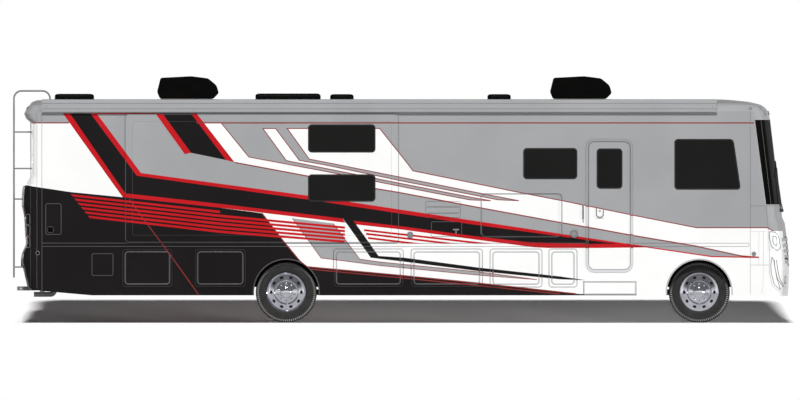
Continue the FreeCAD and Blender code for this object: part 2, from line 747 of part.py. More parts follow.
def rearLoft(shrink, low, overlap):
    top = 3450 - shrink
    heights = [low] + [z for x, z in TAIL if low < z < top] + [top]
    return lofted([rearSection(z, shrink, overlap) for z in heights])


# Tail lamps sit in the rear corners.
TAIL_LAMP_LOW, TAIL_LAMP_HIGH = 1158, 1780


def rearCap():
    outer = rearLoft(0, 508, 0)
    shell = outer.cut(rearLoft(float(s.capThick), 490, 20))
    deep = rearLoft(float(s.capThick), 900, 20)
    lamps = []
    for side in (-1, 1):
        corner = Vector(-6100, 1010 if side > 0 else -1180, TAIL_LAMP_LOW)
        lampBox = Part.makeBox(400, 170, TAIL_LAMP_HIGH - TAIL_LAMP_LOW, corner)
        shell = shell.cut(lampBox)
        lamps.append(outer.common(lampBox).cut(deep))
    around = Part.makeBox(500, 120, 120, Vector(-6100, -60, 470))
    solid("rear_cap", shell.cut(around))
    solid("tail_lights", Part.makeCompound(lamps))


# Slide-outs: a five-sided box open to the cabin, with a flange that covers the edge of its opening.
SLIDE_HEADROOM = 12


def slideOut(name, rear, front, windows):
    # Modelled on the right side; the left one is its mirror image.
    clear = s.flangeOverlap + SLIDE_HEADROOM
    x0 = rear + clear
    x1 = front - clear
    z0 = s.slideBottom + clear
    z1 = s.slideTop - clear
    faceIn = wallOut + gap
    inner = faceIn - s.slideDepth
    wall = s.slideWall
    inset = s.fasciaInset
    face = panel(name + "Face", "XZ", faceIn, s.flangeThick, [
        roundedRectangle(rear, front, s.slideBottom, s.slideTop, s.windowCorner)] + windows)
    fascia = panel(name + "Fascia", "XZ", faceIn - wall, wall, [[(x0, z0), (x1, z0), (x1, z1), (x0, z1)]] + windows)
    parts = [face, fascia]
    back = inner
    parts.append(block(name + "Bottom", x0, x1, -faceIn, -back, z0, z0 + wall))
    parts.append(block(name + "Top", x0, x1, -faceIn, -back, z1 - wall, z1))
    parts.append(block(name + "Rear", x0, x0 + wall, -faceIn, -back, z0, z1))
    parts.append(block(name + "Front", x1 - wall, x1, -faceIn, -back, z0, z1))
    return fuse(name, parts)


def slideWindow(low, high, inset):
    return windowOutline(s.slideWindowRear, s.slideWindowFront, low, high, inset)


def leftSlideWindow(inset):
    middle = (s.leftSlideRear + s.leftSlideFront) / 2
    half = (s.slideWindowFront - s.slideWindowRear) / 2
    return windowOutline(middle - half, middle + half, s.lowerWindowBottom, s.lowerWindowTop, inset)


def slideOuts():
    upper = (s.upperWindowBottom, s.upperWindowTop)
    lower = (s.lowerWindowBottom, s.lowerWindowTop)
    right = slideOut("rightSlide", s.rightSlideRear, s.rightSlideFront, [
        slideWindow(*upper, 0.0), slideWindow(*lower, 0.0)])
    keep(right, "right_slideout")
    left = slideOut("leftSlideForm", s.leftSlideRear, s.leftSlideFront, [leftSlideWindow(0.0)])
    keep(mirrored("leftSlide", left), "left_slideout")
    offset = wallOut + gap + s.flangeThick - s.glassThick
    panes = [
        panel("slidePane", "XZ", offset, s.glassThick, [slideWindow(*band, s.seamGap)])
        for band in (upper, lower)
    ]
    keep(group("rightSlidePanes", panes), "right_slideout_windows")
    pane = panel("leftSlidePaneForm", "XZ", offset, s.glassThick, [leftSlideWindow(s.seamGap)])
    keep(mirrored("leftSlidePane", pane), "left_slideout_windows")


def sideWindows():
    offset = wallOut - s.glassThick
    panes = [
        panel("rightPane", "XZ", offset, s.glassThick, [rightWindow(s.seamGap)]),
        panel("rightCabPane", "XZ", offset, s.glassThick, [cabWindowOutline(s.seamGap)]),
        panel("leftPane", "XZ", -wallOut, s.glassThick, [leftWindow(s.seamGap)]),
        panel("leftCabPane", "XZ", -wallOut, s.glassThick, [cabWindowOutline(s.seamGap)]),
    ]
    keep(group("sidePanes", panes), "side_windows")


# Runners that the slide-outs roll on lie on the floor, under their boxes.
RUNNER_WIDE = 80


def slideRunners():
    parts = []
    top = s.slideBottom + s.flangeOverlap + SLIDE_HEADROOM - s.seamGap
    for side, rear, front in ((-1, s.rightSlideRear, s.rightSlideFront), (1, s.leftSlideRear, s.leftSlideFront)):
        inner = wallOut - s.slideDepth - 300
        y0, y1 = (-wallIn, -inner) if side < 0 else (inner, wallIn)
        for share in (0.1, 0.5, 0.9):
            x = rear + (front - rear) * share
            parts.append(block("runner", x - RUNNER_WIDE / 2, x + RUNNER_WIDE / 2, y0, y1, s.floorTop, top))
    return parts


# Entry door: frame with a raised rim, leaf, window and handle.
def entryDoor():
    lip = 4
    ringPart = panel("doorFrameRing", "XZ", wallIn, s.wallThick + lip, [doorOutline(0.0), doorOutline(s.doorFrameWide)])
    keep(ringPart, "entry_door_frame")
    window = windowOutline(s.doorWindowRear, s.doorWindowFront, s.doorWindowBottom, s.doorWindowTop, 0.0)
    leaf = panel("doorLeaf", "XZ", wallOut - s.doorThick, s.doorThick, [doorOutline(s.doorFrameWide + gap), window])
    handleX = s.doorFrameRear + s.doorFrameWide + 110
    handle = block("doorHandle", handleX, handleX + 130, -wallOut - 12, -wallOut, 1625, 1785)
    keep(fuse("doorSolid", [leaf, handle]), "entry_door")
    pane = windowOutline(s.doorWindowRear, s.doorWindowFront, s.doorWindowBottom, s.doorWindowTop, s.seamGap)
    keep(panel("doorPane", "XZ", wallOut - s.glassThick, s.glassThick, [pane]), "entry_door_window")


def grabRail():
    x = s.doorFrameRear - 40
    low = 1600
    high = 1838
    reach = 45
    bar = rod("grabBar", "z", x, -wallOut - reach, low, 11, high - low)
    feet = [rod("grabFoot", "y", x, -wallOut - reach, z, 9, reach) for z in (low + 14, high - 14)]
    keep(fuse("grabRail", [bar] + feet), "grab_rail")


# Entry step: a tread in a case under the doorway that slides out, with the panel as its front.
def entryStep():
    front = panel("stepPanel", "XZ", skirtIn, s.skirtThick, [
        roundedRectangle(s.stepRear, s.stepFront, s.stepBottom, s.stepTop, 20)])
    inset = 60
    middle = (s.stepBottom + s.stepTop) / 2
    tread = block(
        "stepTread", s.stepRear + inset, s.stepFront - inset, -skirtIn, -skirtIn + s.stepDepth, middle, middle + 30)
    keep(fuse("stepSolid", [front, tread]), "entry_step")


# The case hangs from the step well and guides the tread from both sides.
def stepCase():
    parts = []
    inset = 60
    middle = (s.stepBottom + s.stepTop) / 2
    low = middle - 30
    top = s.doorFrameBottom + s.doorFrameWide - s.baySheet
    y0 = -skirtIn + 20
    y1 = -skirtIn + s.stepDepth + 60
    for x0, side in ((s.stepRear + inset - gap - 40, 1), (s.stepFront - inset + gap, -1)):
        x1 = x0 + 40
        hanger = block("stepHanger", x0, x1, y0, y1, low, low + 90)
        parts.append(hanger)
    for x0 in (s.doorFrameRear + s.doorFrameWide + 20, s.doorFrameFront - s.doorFrameWide - 60):
        parts.append(block("stepPost", x0, x0 + 40, y0 + 150, y0 + 190, low + 70, top))
    parts.append(block(
        "stepBridge", s.stepRear + inset - gap - 40, s.stepFront - inset + gap + 40, y0 + 150, y0 + 190,
        low + 70, low + 90))
    return parts


# Storage bays: open trays hung under the floor, one run of them per node side.
def bayTray(name, bays, run, side):
    first, last = run
    x0 = bays[first][0] - 20
    x1 = bays[last][1] + 20
    mouth = wallIn + 12
    t = s.baySheet
    low = s.bayBottom - 20
    y0, y1 = (-mouth, -s.bayInner) if side < 0 else (s.bayInner, mouth)
    parts = [
        block(name + "Bottom", x0, x1, y0, y1, low, low + t),
        block(name + "Top", x0, x1, y0 + 12 if side < 0 else y0, y1 if side < 0 else y1 - 12, floorBottom - t, floorBottom),
    ]
    back = y1 - t if side < 0 else y0
    parts.append(block(name + "Back", x0, x1, back, back + t, low, floorBottom))
    walls = [x0] + [(bays[i][1] + bays[i + 1][0]) / 2 for i in range(first, last)] + [x1 - t]
    for x in walls:
        parts.append(block(name + "Wall", x, x + t, y0, y1, low, floorBottom))
    return fuse(name, parts)


def storageBays():
    for label, bays, runs, side in (
        ("right", RIGHT_BAYS, RIGHT_RUNS, -1), ("left", LEFT_BAYS, LEFT_RUNS, 1),
    ):
        trays = [bayTray("%sTray%d" % (label, i), bays, run, side) for i, run in enumerate(runs)]
        keep(group(label + "Trays", trays), label + "_storage_bays")


def bayDoors():
    for label, bays, offset in (("right", RIGHT_BAYS, skirtIn), ("left", LEFT_BAYS, -wallOut)):
        for i, (rear, front) in enumerate(bays, start=1):
            leaf = panel("%sBayLeaf%d" % (label, i), "XZ", offset, s.skirtThick, [bayOutline(rear, front, 0.0)])
            keep(leaf, "%s_bay_door_%d" % (label, i))
    hatch = panel("sideHatchLeaf", "XZ", wallOut - s.hatchThick, s.hatchThick, [hatchOutline(gap)])
    keep(hatch, "side_hatch")


# Fixed service hatches and lamps on the walls: rear, front, bottom, top, corner.
RIGHT_HATCHES = (
    (-4796, -4459, 726, 1076, 25), (-5513, -5262, 1363, 1851, 30), (465, 945, 1332, 1571, 25),
    (381, 925, 1625, 1887, 20),
)
LEFT_HATCHES = ((-5300, -4900, 1400, 1800, 25), (3300, 3600, 700, 1000, 25), (2900, 3400, 1400, 1900, 25))
HATCH_PROUD = 4


def serviceHatches():
    parts = []
    for i, (rear, front, low, high, corner) in enumerate(RIGHT_HATCHES):
        parts.append(panel("rightHatch%d" % i, "XZ", wallOut, HATCH_PROUD, [
            roundedRectangle(rear, front, low, high, corner)]))
    for i, (rear, front, low, high, corner) in enumerate(LEFT_HATCHES):
        parts.append(panel("leftHatch%d" % i, "XZ", -wallOut - HATCH_PROUD, HATCH_PROUD, [
            roundedRectangle(rear, front, low, high, corner)]))
    for x, z, radius in ((143, 1365, 45), (2686, 1376, 62)):
        parts.append(rod("wallLight", "y", x, -wallOut - 18, z, radius, 18))
    keep(group("hatches", parts), "service_hatches")


# Roof gear.
COOLER = (
    (48, 0), (869, 0), (960, 93), (923, 213), (792, 322), (528, 355), (55, 330), (0, 110),
)


def roofGear():
    coolers = []
    scale = s.coolerLong / 960
    rise = (s.coolerTop - s.roofCrown) / 357
    for i, rear in enumerate((s.rearCoolerX, s.frontCoolerX)):
        outline = rounded([(rear + x * scale, s.roofCrown + 2 + z * rise) for x, z in COOLER], 30)
        coolers.append(panel("cooler%d" % i, "XZ", -s.coolerWide / 2, s.coolerWide, [outline]))
    keep(group("coolers", coolers), "air_conditioners")
    crown = s.roofCrown
    parts = [
        block("pod", -5369, -4757, -300, 300, crown, crown + 84),
        block("solarPanel", -2258, -1245, -330, 330, crown, crown + 46),
        block("solarBox", -1680, -1322, -120, 120, crown + 46, crown + 89),
    ]
    for x0, x1 in ((-1099, -733), (1338, 1702)):
        parts.append(block("ventFlange", x0, x1, -183, 183, crown, crown + 37))
        parts.append(block("ventLid", x0 + 60, x1 - 60, -123, 123, crown + 37, crown + 79))
    podAndPanel = fuse("solarUnit", parts[1:3])
    vents = [fuse("vent%d" % i, parts[3 + 2 * i:5 + 2 * i]) for i in range(2)]
    keep(group("roofFittings", [parts[0], podAndPanel] + vents), "roof_fittings")


# Ladder: two bent tubes with rungs and stand-offs.
LADDER_REACH = 560
LADDER_BEND = 120
RUNGS = (1096, 1394, 1701, 1980, 2321, 2616, 2941, 3228)
STAND_OFFS = (864, 1918, 2391, 2957)


def bentTube(points, bend, radius):
    # A round tube through points: straight runs joined by round bends.
    parts = []
    last = points[0]
    for before, corner, after in zip(points, points[1:], points[2:]):
        arriving = (corner - before).normalize()
        leaving = (after - corner).normalize()
        turn = arriving.getAngle(leaving)
        trim = bend * math.tan(turn / 2)
        start = corner - arriving * trim
        inward = (leaving - arriving * leaving.dot(arriving)).normalize()
        parts.append(straight(last, start, radius))
        disc = Part.Face(Part.Wire([Part.Circle(start, arriving, radius).toShape()]))
        parts.append(disc.revolve(start + inward * bend, arriving.cross(leaving), math.degrees(turn)))
        last = corner + leaving * trim
    parts.append(straight(last, points[-1], radius))
    return parts[0].multiFuse(parts[1:]).removeSplitter()


def straight(a, b, radius):
    return Part.makeCylinder(radius, (b - a).Length, a, b - a)


def ladder():
    # The stand-offs and hoops end on the cap and the roof.
    doc.recompute()
    x = float(s.ladderX)
    radius = float(s.ladderTube)
    near = -float(s.ladderNear)
    far = near - float(s.ladderWide)
    top = float(s.ladderTop)
    parts = []
    for y in (near, far):
        crown = float(s.roofCrown) - (y ** 2) / (2 * float(crownRadius(s.roofWidth / 2, s.roofCrown - s.roofEdge)))
        parts.append(bentTube([
            Vector(x, y, float(s.ladderFoot)), Vector(x, y, top), Vector(x + LADDER_REACH, y, top),
            Vector(x + LADDER_REACH, y, crown - 10)], LADDER_BEND, radius))
        for z in STAND_OFFS:
            length = between(TAIL, z) + 40 - x
            parts.append(Part.makeCylinder(radius * 0.8, length, Vector(x, y, z), Vector(1, 0, 0)))
    for z in RUNGS:
        parts.append(Part.makeCylinder(radius * 0.9, near - far, Vector(x, far, z), Vector(0, 1, 0)))
    whole = parts[0].multiFuse(parts[1:])
    roof = [item for item in nodes if item.Label == "roof"][0].Shape
    solid("ladder", whole.cut(rearLoft(0, 508, 0)).cut(roof))


# Running gear.
def wheelOutline(middle, root, face):
    # Section of a disc wheel in (y, radius): rim barrel with lips, and a dished disc that leaves the
    # barrel at `root` and reaches the hub at `face`.
    t = s.rimThick
    half = s.rimHalfWidth
    r = s.rimRadius
    eye = s.hubRadius - 20
    return [
        (middle - half, r - t), (root - t / 2, r - t), (face - t / 2, s.dishRadius), (face - t / 2, eye),
        (face + t / 2, eye), (face + t / 2, s.dishRadius), (root + t / 2, r - t), (middle + half, r - t),
        (middle + half, s.rimLip), (middle + half - t, s.rimLip), (middle + half - t, r),
        (middle - half + t, r), (middle - half + t, s.rimLip), (middle - half, s.rimLip),
    ]


def tyreOutline(middle):
    r = s.tyreRadius
    half = s.tyreWidth / 2
    bead = s.rimHalfWidth - s.rimThick
    wall = 22
    low = s.rimRadius
    return [
        (middle - bead, low), (middle - bead + wall, low), (middle - half + wall + 4, (low + r) / 2),
        (middle - half + wall + 14, r - 28), (middle + half - wall - 14, r - 28), (middle + half - wall - 4, (low + r) / 2),
        (middle + bead - wall, low), (middle + bead, low), (middle + bead, s.rimLip + 2),
        (middle + s.rimHalfWidth, s.rimLip + 2), (middle + half, (low + r) / 2),
        (middle + half - 6, r - 22), (middle + half - 24, r - 2), (middle + 40, r), (middle - 40, r),
        (middle - half + 24, r - 2), (middle - half + 6, r - 22), (middle - half, (low + r) / 2),
        (middle - s.rimHalfWidth, s.rimLip + 2), (middle - bead, s.rimLip + 2),
    ]


def pierced(body, name, profile, x, root, face):
    # The ring of hand holes through the dished part of a wheel disc.
    doc.recompute()
    sketch = sketchOn(body, name + "Hole", "XZ", (root + face) / -2, x, axleZ)
    ring(sketch, 0.0, s.handHoleCircle, s.handHoleRadius)
    pocket = body.newObject("PartDesign::Pocket", name + "HolePocket")
    pocket.Profile = sketch
    pocket.Midplane = True
    pocket.setExpression("Length", formulaOf(s.rimThick * 10))
    doc.recompute()
    pattern = body.newObject("PartDesign::PolarPattern", name + "Pattern")
    pattern.Originals = [pocket]
    pattern.Axis = (profile, ["H_Axis"])
    pattern.Angle = 360
    pattern.setExpression("Occurrences", formulaOf(s.handHoles))
    body.Tip = pattern


def wheel(name, x, discs, hubInner, hubOuter):
    # Rims, hub and tyres of one wheel or twin on the left side. A disc is (tyre middle, root, face).
    rims = []
    for i, (middle, root, face) in enumerate(discs):
        body, profile, _ = turned("%sRim%d" % (name, i), x, axleZ, wheelOutline(middle, root, face))
        pierced(body, "%sRim%d" % (name, i), profile, x, root, face)
        rims.append(body)
    bore = s.spindleRadius + s.pinPlay
    seat = discs[0][2] + s.rimThick / 2
    hub, _, _ = turned(name + "Hub", x, axleZ, [
        (hubInner, bore), (hubOuter - 30, bore), (hubOuter - 30, 0.01), (hubOuter, 0.01), (hubOuter, 60),
        (hubOuter - 25, 85), (seat + 20, 88), (seat, 92), (seat, s.hubRadius), (hubInner, s.hubRadius),
    ])
    tyres = [turned("%sTyre%d" % (name, i), x, axleZ, tyreOutline(disc[0]))[0] for i, disc in enumerate(discs)]
    return fuse(name + "Rims", rims + [hub]), tyres[0] if len(tyres) == 1 else group(name + "Tyres", tyres)


def wheels():
    front = s.frontTrack / 2
    rims, tyre = wheel(
        "frontWheel", s.frontAxleX, [(front, front + 40, front + 70)], front - 30, front + 150)
    keep(rims, "front_left_rim")
    keep(tyre, "front_left_tyre")
    keep(mirrored("frontRightRim", rims), "front_right_rim")
    keep(mirrored("frontRightTyre", tyre), "front_right_tyre")
    middle = s.dualTrack / 2
    twin = s.dualSpacing / 2
    seat = s.rimThick / 2
    discs = [(middle + twin, middle + 70, middle + seat), (middle - twin, middle - 70, middle - seat)]
    rims, tyres = wheel("rearWheel", rearAxleX, discs, middle - 120, middle + 200)
    keep(rims, "rear_left_rims")
    keep(tyres, "rear_left_tyres")
    keep(mirrored("rearRightRims", rims), "rear_right_rims")
    keep(mirrored("rearRightTyres", tyres), "rear_right_tyres")


# Steering: knuckles on kingpins, with arms to a tie rod behind the axle.
ARM_BACK = 180
ARM_LOW, ARM_HIGH = 388, 408
EYE_LOW, EYE_HIGH = 428, 520
LUG_THICK = 30
EYE_RADIUS = 44


def steering():
    y = s.kingpinTrack / 2
    x = s.frontAxleX
    low = EYE_LOW - gap
    high = EYE_HIGH + gap
    plateIn = y + EYE_RADIUS + gap * 2
    plate = block("knucklePlate", x - 50, x + 50, plateIn, plateIn + 30, low - LUG_THICK, high + LUG_THICK)
    parts = [plate]
    for z in (low - LUG_THICK, high):
        parts.append(rod("knuckleLug", "z", x, y, z, EYE_RADIUS, LUG_THICK))
        parts.append(block("knuckleWeb", x - 40, x + 40, y, plateIn, z, z + LUG_THICK))
    parts.append(rod("kingpin", "z", x, y, low - 5, s.kingpinRadius, high - low + 10))
    parts.append(rod("spindle", "y", x, plateIn + 20, axleZ, s.spindleRadius, 120 + s.frontTrack / 2 - plateIn - 25))
    arm = block("steerArm", x - ARM_BACK, x - 20, y - 16, y + 16, low - LUG_THICK, low - LUG_THICK + 20)
    armEye = rod("armEye", "z", x - ARM_BACK, y, low - LUG_THICK, 24, 20)
    armHole = rod("armHole", "z", x - ARM_BACK, y, low - LUG_THICK - 5, 10 + s.pinPlay, 30)
    knuckle = cut("leftKnuckle", fuse("knuckleSolid", parts + [arm, armEye]), [armHole])
    keep(knuckle, "left_knuckle")
    keep(mirrored("rightKnuckle", knuckle), "right_knuckle")
    rodZ = low - LUG_THICK - 16
    rodParts = [rod("tieTube", "y", x - ARM_BACK, -y, rodZ - 2, 13, y * 2)]
    for side in (-1, 1):
        rodParts.append(rod("tieEnd", "z", x - ARM_BACK, y * side, rodZ - 18, 22, 30))
        rodParts.append(rod("tiePin", "z", x - ARM_BACK, y * side, rodZ, 10, 40))
    keep(fuse("tieRod", rodParts), "tie_rod")


SPRING_Y = 480
SPRING_WIDE = 76
SPRING_HALF = 700
SPRING_SAG = 90


def axles():
    x = s.frontAxleX
    y = s.kingpinTrack / 2
    beam = block("frontBeam", x - 45, x + 45, -y, y, EYE_LOW + 10, EYE_HIGH - 10)
    slots = [
        block("beamSlotRear", x - 46, x - 12, 100 - y, y - 100, EYE_LOW + 28, EYE_HIGH - 28),
        block("beamSlotFront", x + 12, x + 46, 100 - y, y - 100, EYE_LOW + 28, EYE_HIGH - 28),
    ]
    eyes = [rod("axleEye", "z", x, y * side, EYE_LOW, EYE_RADIUS, EYE_HIGH - EYE_LOW) for side in (-1, 1)]
    bores = [
        rod("axleBore", "z", x, y * side, EYE_LOW - 5, s.kingpinRadius + s.pinPlay, EYE_HIGH - EYE_LOW + 10)
        for side in (-1, 1)
    ]
    keep(cut("frontAxle", fuse("frontAxleSolid", [beam] + eyes), slots + bores), "front_axle")
    half = s.dualTrack / 2
    tube = rod("rearTube", "y", rearAxleX, 140 - half, axleZ, 62, half * 2 - 280)
    spindle = rod("rearSpindle", "y", rearAxleX, -half - 150, axleZ, s.spindleRadius, half * 2 + 300)
    casing = doc.addObject("Part::Sphere", "diffCase")
    casing.Radius = 190
    place(casing, rearAxleX, 0.0, axleZ)
    nose = rod("diffNose", "x", rearAxleX, 0.0, axleZ, 70, 380)
    shaft = rod("driveShaft", "x", rearAxleX + 300, 0.0, axleZ, 45, s.frontAxleX - rearAxleX - 300 - 250)
    keep(fuse("rearAxle", [tube, spindle, casing, nose, shaft]), "rear_axle")


def springLeaf(x, y, seat, count, thick, eye):
    # A pack of leaves, bent upwards at both ends to its eyes.
    parts = []
    for i in range(count):
        half = SPRING_HALF * (1 - 0.14 * i)
        sag = SPRING_SAG * (half / SPRING_HALF) ** 2
        z = seat - thick * i
        low = Part.Arc(Vector(x - half, y, z + sag), Vector(x, y, z), Vector(x + half, y, z + sag)).toShape()
        high = Part.Arc(
            Vector(x - half, y, z + sag + thick), Vector(x, y, z + thick), Vector(x + half, y, z + sag + thick)).toShape()
        ends = [
            Part.LineSegment(Vector(x + half, y, z + sag), Vector(x + half, y, z + sag + thick)).toShape(),
            Part.LineSegment(Vector(x - half, y, z + sag + thick), Vector(x - half, y, z + sag)).toShape(),
        ]
        face = Part.Face(Part.Wire([low, ends[0], high, ends[1]]))
        parts.append(face.extrude(Vector(0, SPRING_WIDE, 0)))
    for end in (-1, 1):
        parts.append(Part.makeCylinder(
            22, SPRING_WIDE, Vector(x + end * SPRING_HALF, y, seat + SPRING_SAG + 10), Vector(0, 1, 0)))
        top = float(s.railBottom)
        parts.append(Part.makeBox(
            50, SPRING_WIDE, max(top + 60 - (seat + SPRING_SAG), 60),
            Vector(x + end * SPRING_HALF - 25, y, seat + SPRING_SAG + 10)))
    return parts[0].multiFuse(parts[1:])


def leafSprings():
    parts = []
    inner = float(railOut)
    for x, seat in ((float(s.frontAxleX), EYE_HIGH - 10 + 14 * 3), (float(rearAxleX), float(axleZ) + 62 + 14 * 3)):
        for side in (-1, 1):
            y = inner if side > 0 else -inner - SPRING_WIDE
            parts.append(springLeaf(x, y, seat, 4, 14, 22))
    solid("leaf_springs", Part.makeCompound(parts))


def wheelHouses():
    # Sheet arches over the wheels, with an inner wall.
    parts = []
    for x in (rearAxleX, s.frontAxleX):
        for side in (-1, 1):
            y0, y1 = (-skirtIn, -s.linerInner) if side < 0 else (s.linerInner, skirtIn)
            outer = rod("houseOuter", "y", x, y0, axleZ, s.linerRadius, y1 - y0)
            back = y0 + s.linerThick if side > 0 else y0 - 1
            inner = rod("houseInner", "y", x, back, axleZ, s.linerRadius - s.linerThick, y1 - y0 - s.linerThick + 1)
            below = block(
                "houseBelow", x - s.linerRadius - 1, x + s.linerRadius + 1, y0 - 2, y1 + 2, -s.linerRadius, axleZ + 80)
            parts.append(cut("house", outer, [inner, below]))
    keep(group("wheelHouses", parts), "wheel_houses")


def driveTrain():
    engine = block("engineBlock", s.frontAxleX + 150, s.railFront - 100, -300, 300, s.railBottom + 20, floorBottom - 20)
    mounts = block(
        "engineMount", s.frontAxleX + 300, s.frontAxleX + 400, s.railThick - railOut, railOut - s.railThick,
        s.railBottom + 60, s.railBottom + 120)
    gearbox = rod("gearbox", "x", s.frontAxleX - 240, 0.0, s.railBottom + 130, 150, 400)
    keep(fuse("engineUnit", [engine, mounts, gearbox]), "engine")
    tank = block("tank", -3500, -2500, -180, 340, s.railBottom - 100, s.railBottom + 110)
    straps = [
        block("tankStrap", x, x + 50, s.railThick - railOut, railOut - s.railThick, s.railBottom + 110, s.railBottom + 118)
        for x in (-3300, -2800)
    ]
    keep(fuse("tankUnit", [tank] + straps), "fuel_tank")


# Exhaust: from the engine along the inside of the right rail, over the rear axle and out under the tail.
PIPE_RADIUS, PIPE_Y, PIPE_Z, PIPE_BEND = 38, -268, 600, 60
MUFFLER_X, MUFFLER_LONG, MUFFLER_RADIUS = 900, 900, 82
PIPE_HANGERS = (3000, 700, -1000, -4600)


def exhaustPipe():
    y = PIPE_Y
    z = PIPE_Z
    pipe = bentTube([
        Vector(float(s.frontAxleX) + 150, y, z), Vector(-5300, y, z), Vector(-5400, y, z - 160),
        Vector(-5690, y, z - 160),
    ], PIPE_BEND, PIPE_RADIUS)
    parts = [Part.makeCylinder(MUFFLER_RADIUS, MUFFLER_LONG, Vector(MUFFLER_X, y, z), Vector(1, 0, 0))]
    web = float(s.railThick - railOut)
    for x in PIPE_HANGERS:
        parts.append(Part.makeBox(30, y - web, 20, Vector(x, web, z + PIPE_RADIUS - 8)))
    solid("exhaust", pipe.multiFuse(parts))


# Cab.
SEAT_X = 4150


def cabSeats():
    parts = []
    for y in (-620, 620):
        parts.append(block("seatPost", SEAT_X + 130, SEAT_X + 370, y - 120, y + 120, s.floorTop, s.floorTop + 300))
        parts.append(block("seatCushion", SEAT_X, SEAT_X + 520, y - 260, y + 260, s.floorTop + 300, s.floorTop + 430))
        parts.append(block("seatBack", SEAT_X - 130, SEAT_X + 20, y - 250, y + 250, s.floorTop + 330, s.floorTop + 1050))
        parts.append(block("headRest", SEAT_X - 110, SEAT_X, y - 140, y + 140, s.floorTop + 1050, s.floorTop + 1230))
    seats = [fuse("seat%d" % i, parts[4 * i:4 * i + 4]) for i in range(2)]
    keep(group("cabSeats", seats), "cab_seats")


def dashboard():
    board = block("dash", 5080, 5400, -wallIn + 20, wallIn - 20, s.floorTop + 500, s.floorTop + 700)
    legs = [
        block("dashLeg", 5100, 5200, y, y + 60, s.floorTop, s.floorTop + 500) for y in (-wallIn + 20, wallIn - 80)
    ]
    column = rod("column", "x", 4900, 620, s.floorTop + 640, 30, 200)
    wheelRing = doc.addObject("Part::Torus", "steeringRim")
    wheelRing.Radius1 = 205
    wheelRing.Radius2 = 15
    wheelRing.Placement = Placement(Vector(4900, 620, 1840), Rotation(Vector(0, 1, 0), 90))
    spoke = block("spoke", 4890, 4910, 420, 820, 1825, 1855)
    keep(fuse("dashUnit", [board] + legs + [column, wheelRing, spoke]), "dashboard")


def hitch():
    tube = block("receiver", -5950, s.railRear + 300, -32, 32, 500, 564)
    hole = block("receiverHole", -5951, -5650, -25.4, 25.4, 506.6, 557.4)
    pinHole = rod("receiverPin", "y", -5890, -40, 532, 8, 80)
    beam = block("hitchBeam", s.railRear + 100, s.railRear + 180, -railOut, railOut, 480, s.railBottom)
    keep(cut("hitch", fuse("hitchSolid", [tube, beam]), [hole, pinHole]), "hitch_receiver")


doorCut = panel("doorCut", "XZ", wallIn - 40, s.wallThick + 60, [doorOutline(0.0)])

frameRails()
floorSlab()
sideWalls()
skirts()
roofSlab()
awningCases()
frontCap()
rearCap()
slideOuts()
sideWindows()
entryDoor()
grabRail()
entryStep()
storageBays()
bayDoors()
serviceHatches()
roofGear()
ladder()
wheels()
steering()
axles()
leafSprings()
wheelHouses()
driveTrain()
exhaustPipe()
cabSeats()
dashboard()
hitch()

doc.recompute()

for item in doc.Objects:
    if "Invalid" in item.State or "Error" in item.State:
        raise RuntimeError("%s (%s) failed: %s" % (item.Name, item.Label, item.State))
for item in nodes:
    if item.Shape.isNull() or not item.Shape.isValid() or not item.Shape.Solids:
        raise RuntimeError("%s has no valid solid" % item.Label)

os.makedirs("parts", exist_ok=True)
for item in nodes:
    item.Shape.exportStep(os.path.join("parts", item.Label + ".step"))
    box = item.Shape.BoundBox
    print("%-26s %2d solids  x %6.0f %6.0f  y %6.0f %6.0f  z %5.0f %5.0f" % (
        item.Label, len(item.Shape.Solids), box.XMin, box.XMax, box.YMin, box.YMax, box.ZMin, box.ZMax))
print(len(nodes), "sub-parts")
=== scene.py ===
import json
import math

import bmesh
import bpy
import numpy as np
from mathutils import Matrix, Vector
from mathutils.bvhtree import BVHTree


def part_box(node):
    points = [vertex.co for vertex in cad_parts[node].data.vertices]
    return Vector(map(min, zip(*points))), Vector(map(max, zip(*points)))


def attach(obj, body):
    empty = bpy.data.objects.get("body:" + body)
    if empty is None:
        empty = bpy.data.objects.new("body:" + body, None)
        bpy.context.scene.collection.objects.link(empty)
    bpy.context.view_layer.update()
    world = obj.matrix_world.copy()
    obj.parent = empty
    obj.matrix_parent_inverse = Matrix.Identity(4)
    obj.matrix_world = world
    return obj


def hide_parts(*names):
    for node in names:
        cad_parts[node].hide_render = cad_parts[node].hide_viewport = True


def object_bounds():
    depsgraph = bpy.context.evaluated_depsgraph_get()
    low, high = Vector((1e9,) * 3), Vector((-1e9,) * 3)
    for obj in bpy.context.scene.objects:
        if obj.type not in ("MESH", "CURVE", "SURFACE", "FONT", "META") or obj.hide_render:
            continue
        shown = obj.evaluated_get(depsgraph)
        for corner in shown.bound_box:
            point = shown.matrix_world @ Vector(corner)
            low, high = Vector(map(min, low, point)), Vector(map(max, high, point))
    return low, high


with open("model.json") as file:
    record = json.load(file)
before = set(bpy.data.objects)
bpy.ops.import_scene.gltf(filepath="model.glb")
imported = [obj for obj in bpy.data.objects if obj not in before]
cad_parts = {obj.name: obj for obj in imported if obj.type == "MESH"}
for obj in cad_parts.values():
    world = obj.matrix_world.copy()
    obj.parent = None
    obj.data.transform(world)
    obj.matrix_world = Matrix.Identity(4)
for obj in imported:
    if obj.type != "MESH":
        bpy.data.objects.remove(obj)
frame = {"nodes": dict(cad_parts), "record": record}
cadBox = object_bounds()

# A bus-fronted motorhome seen square on from its kerb side. Metres, X forwards, Z up.
nodes = frame["nodes"]
bodyOf = {name: body for body, names in frame["record"]["behaviour"]["bodies"].items() for name in names}
right, left = -1, 1     # sides of the vehicle, as signs of Y
chassis = "chassis"


# Colours and nodes

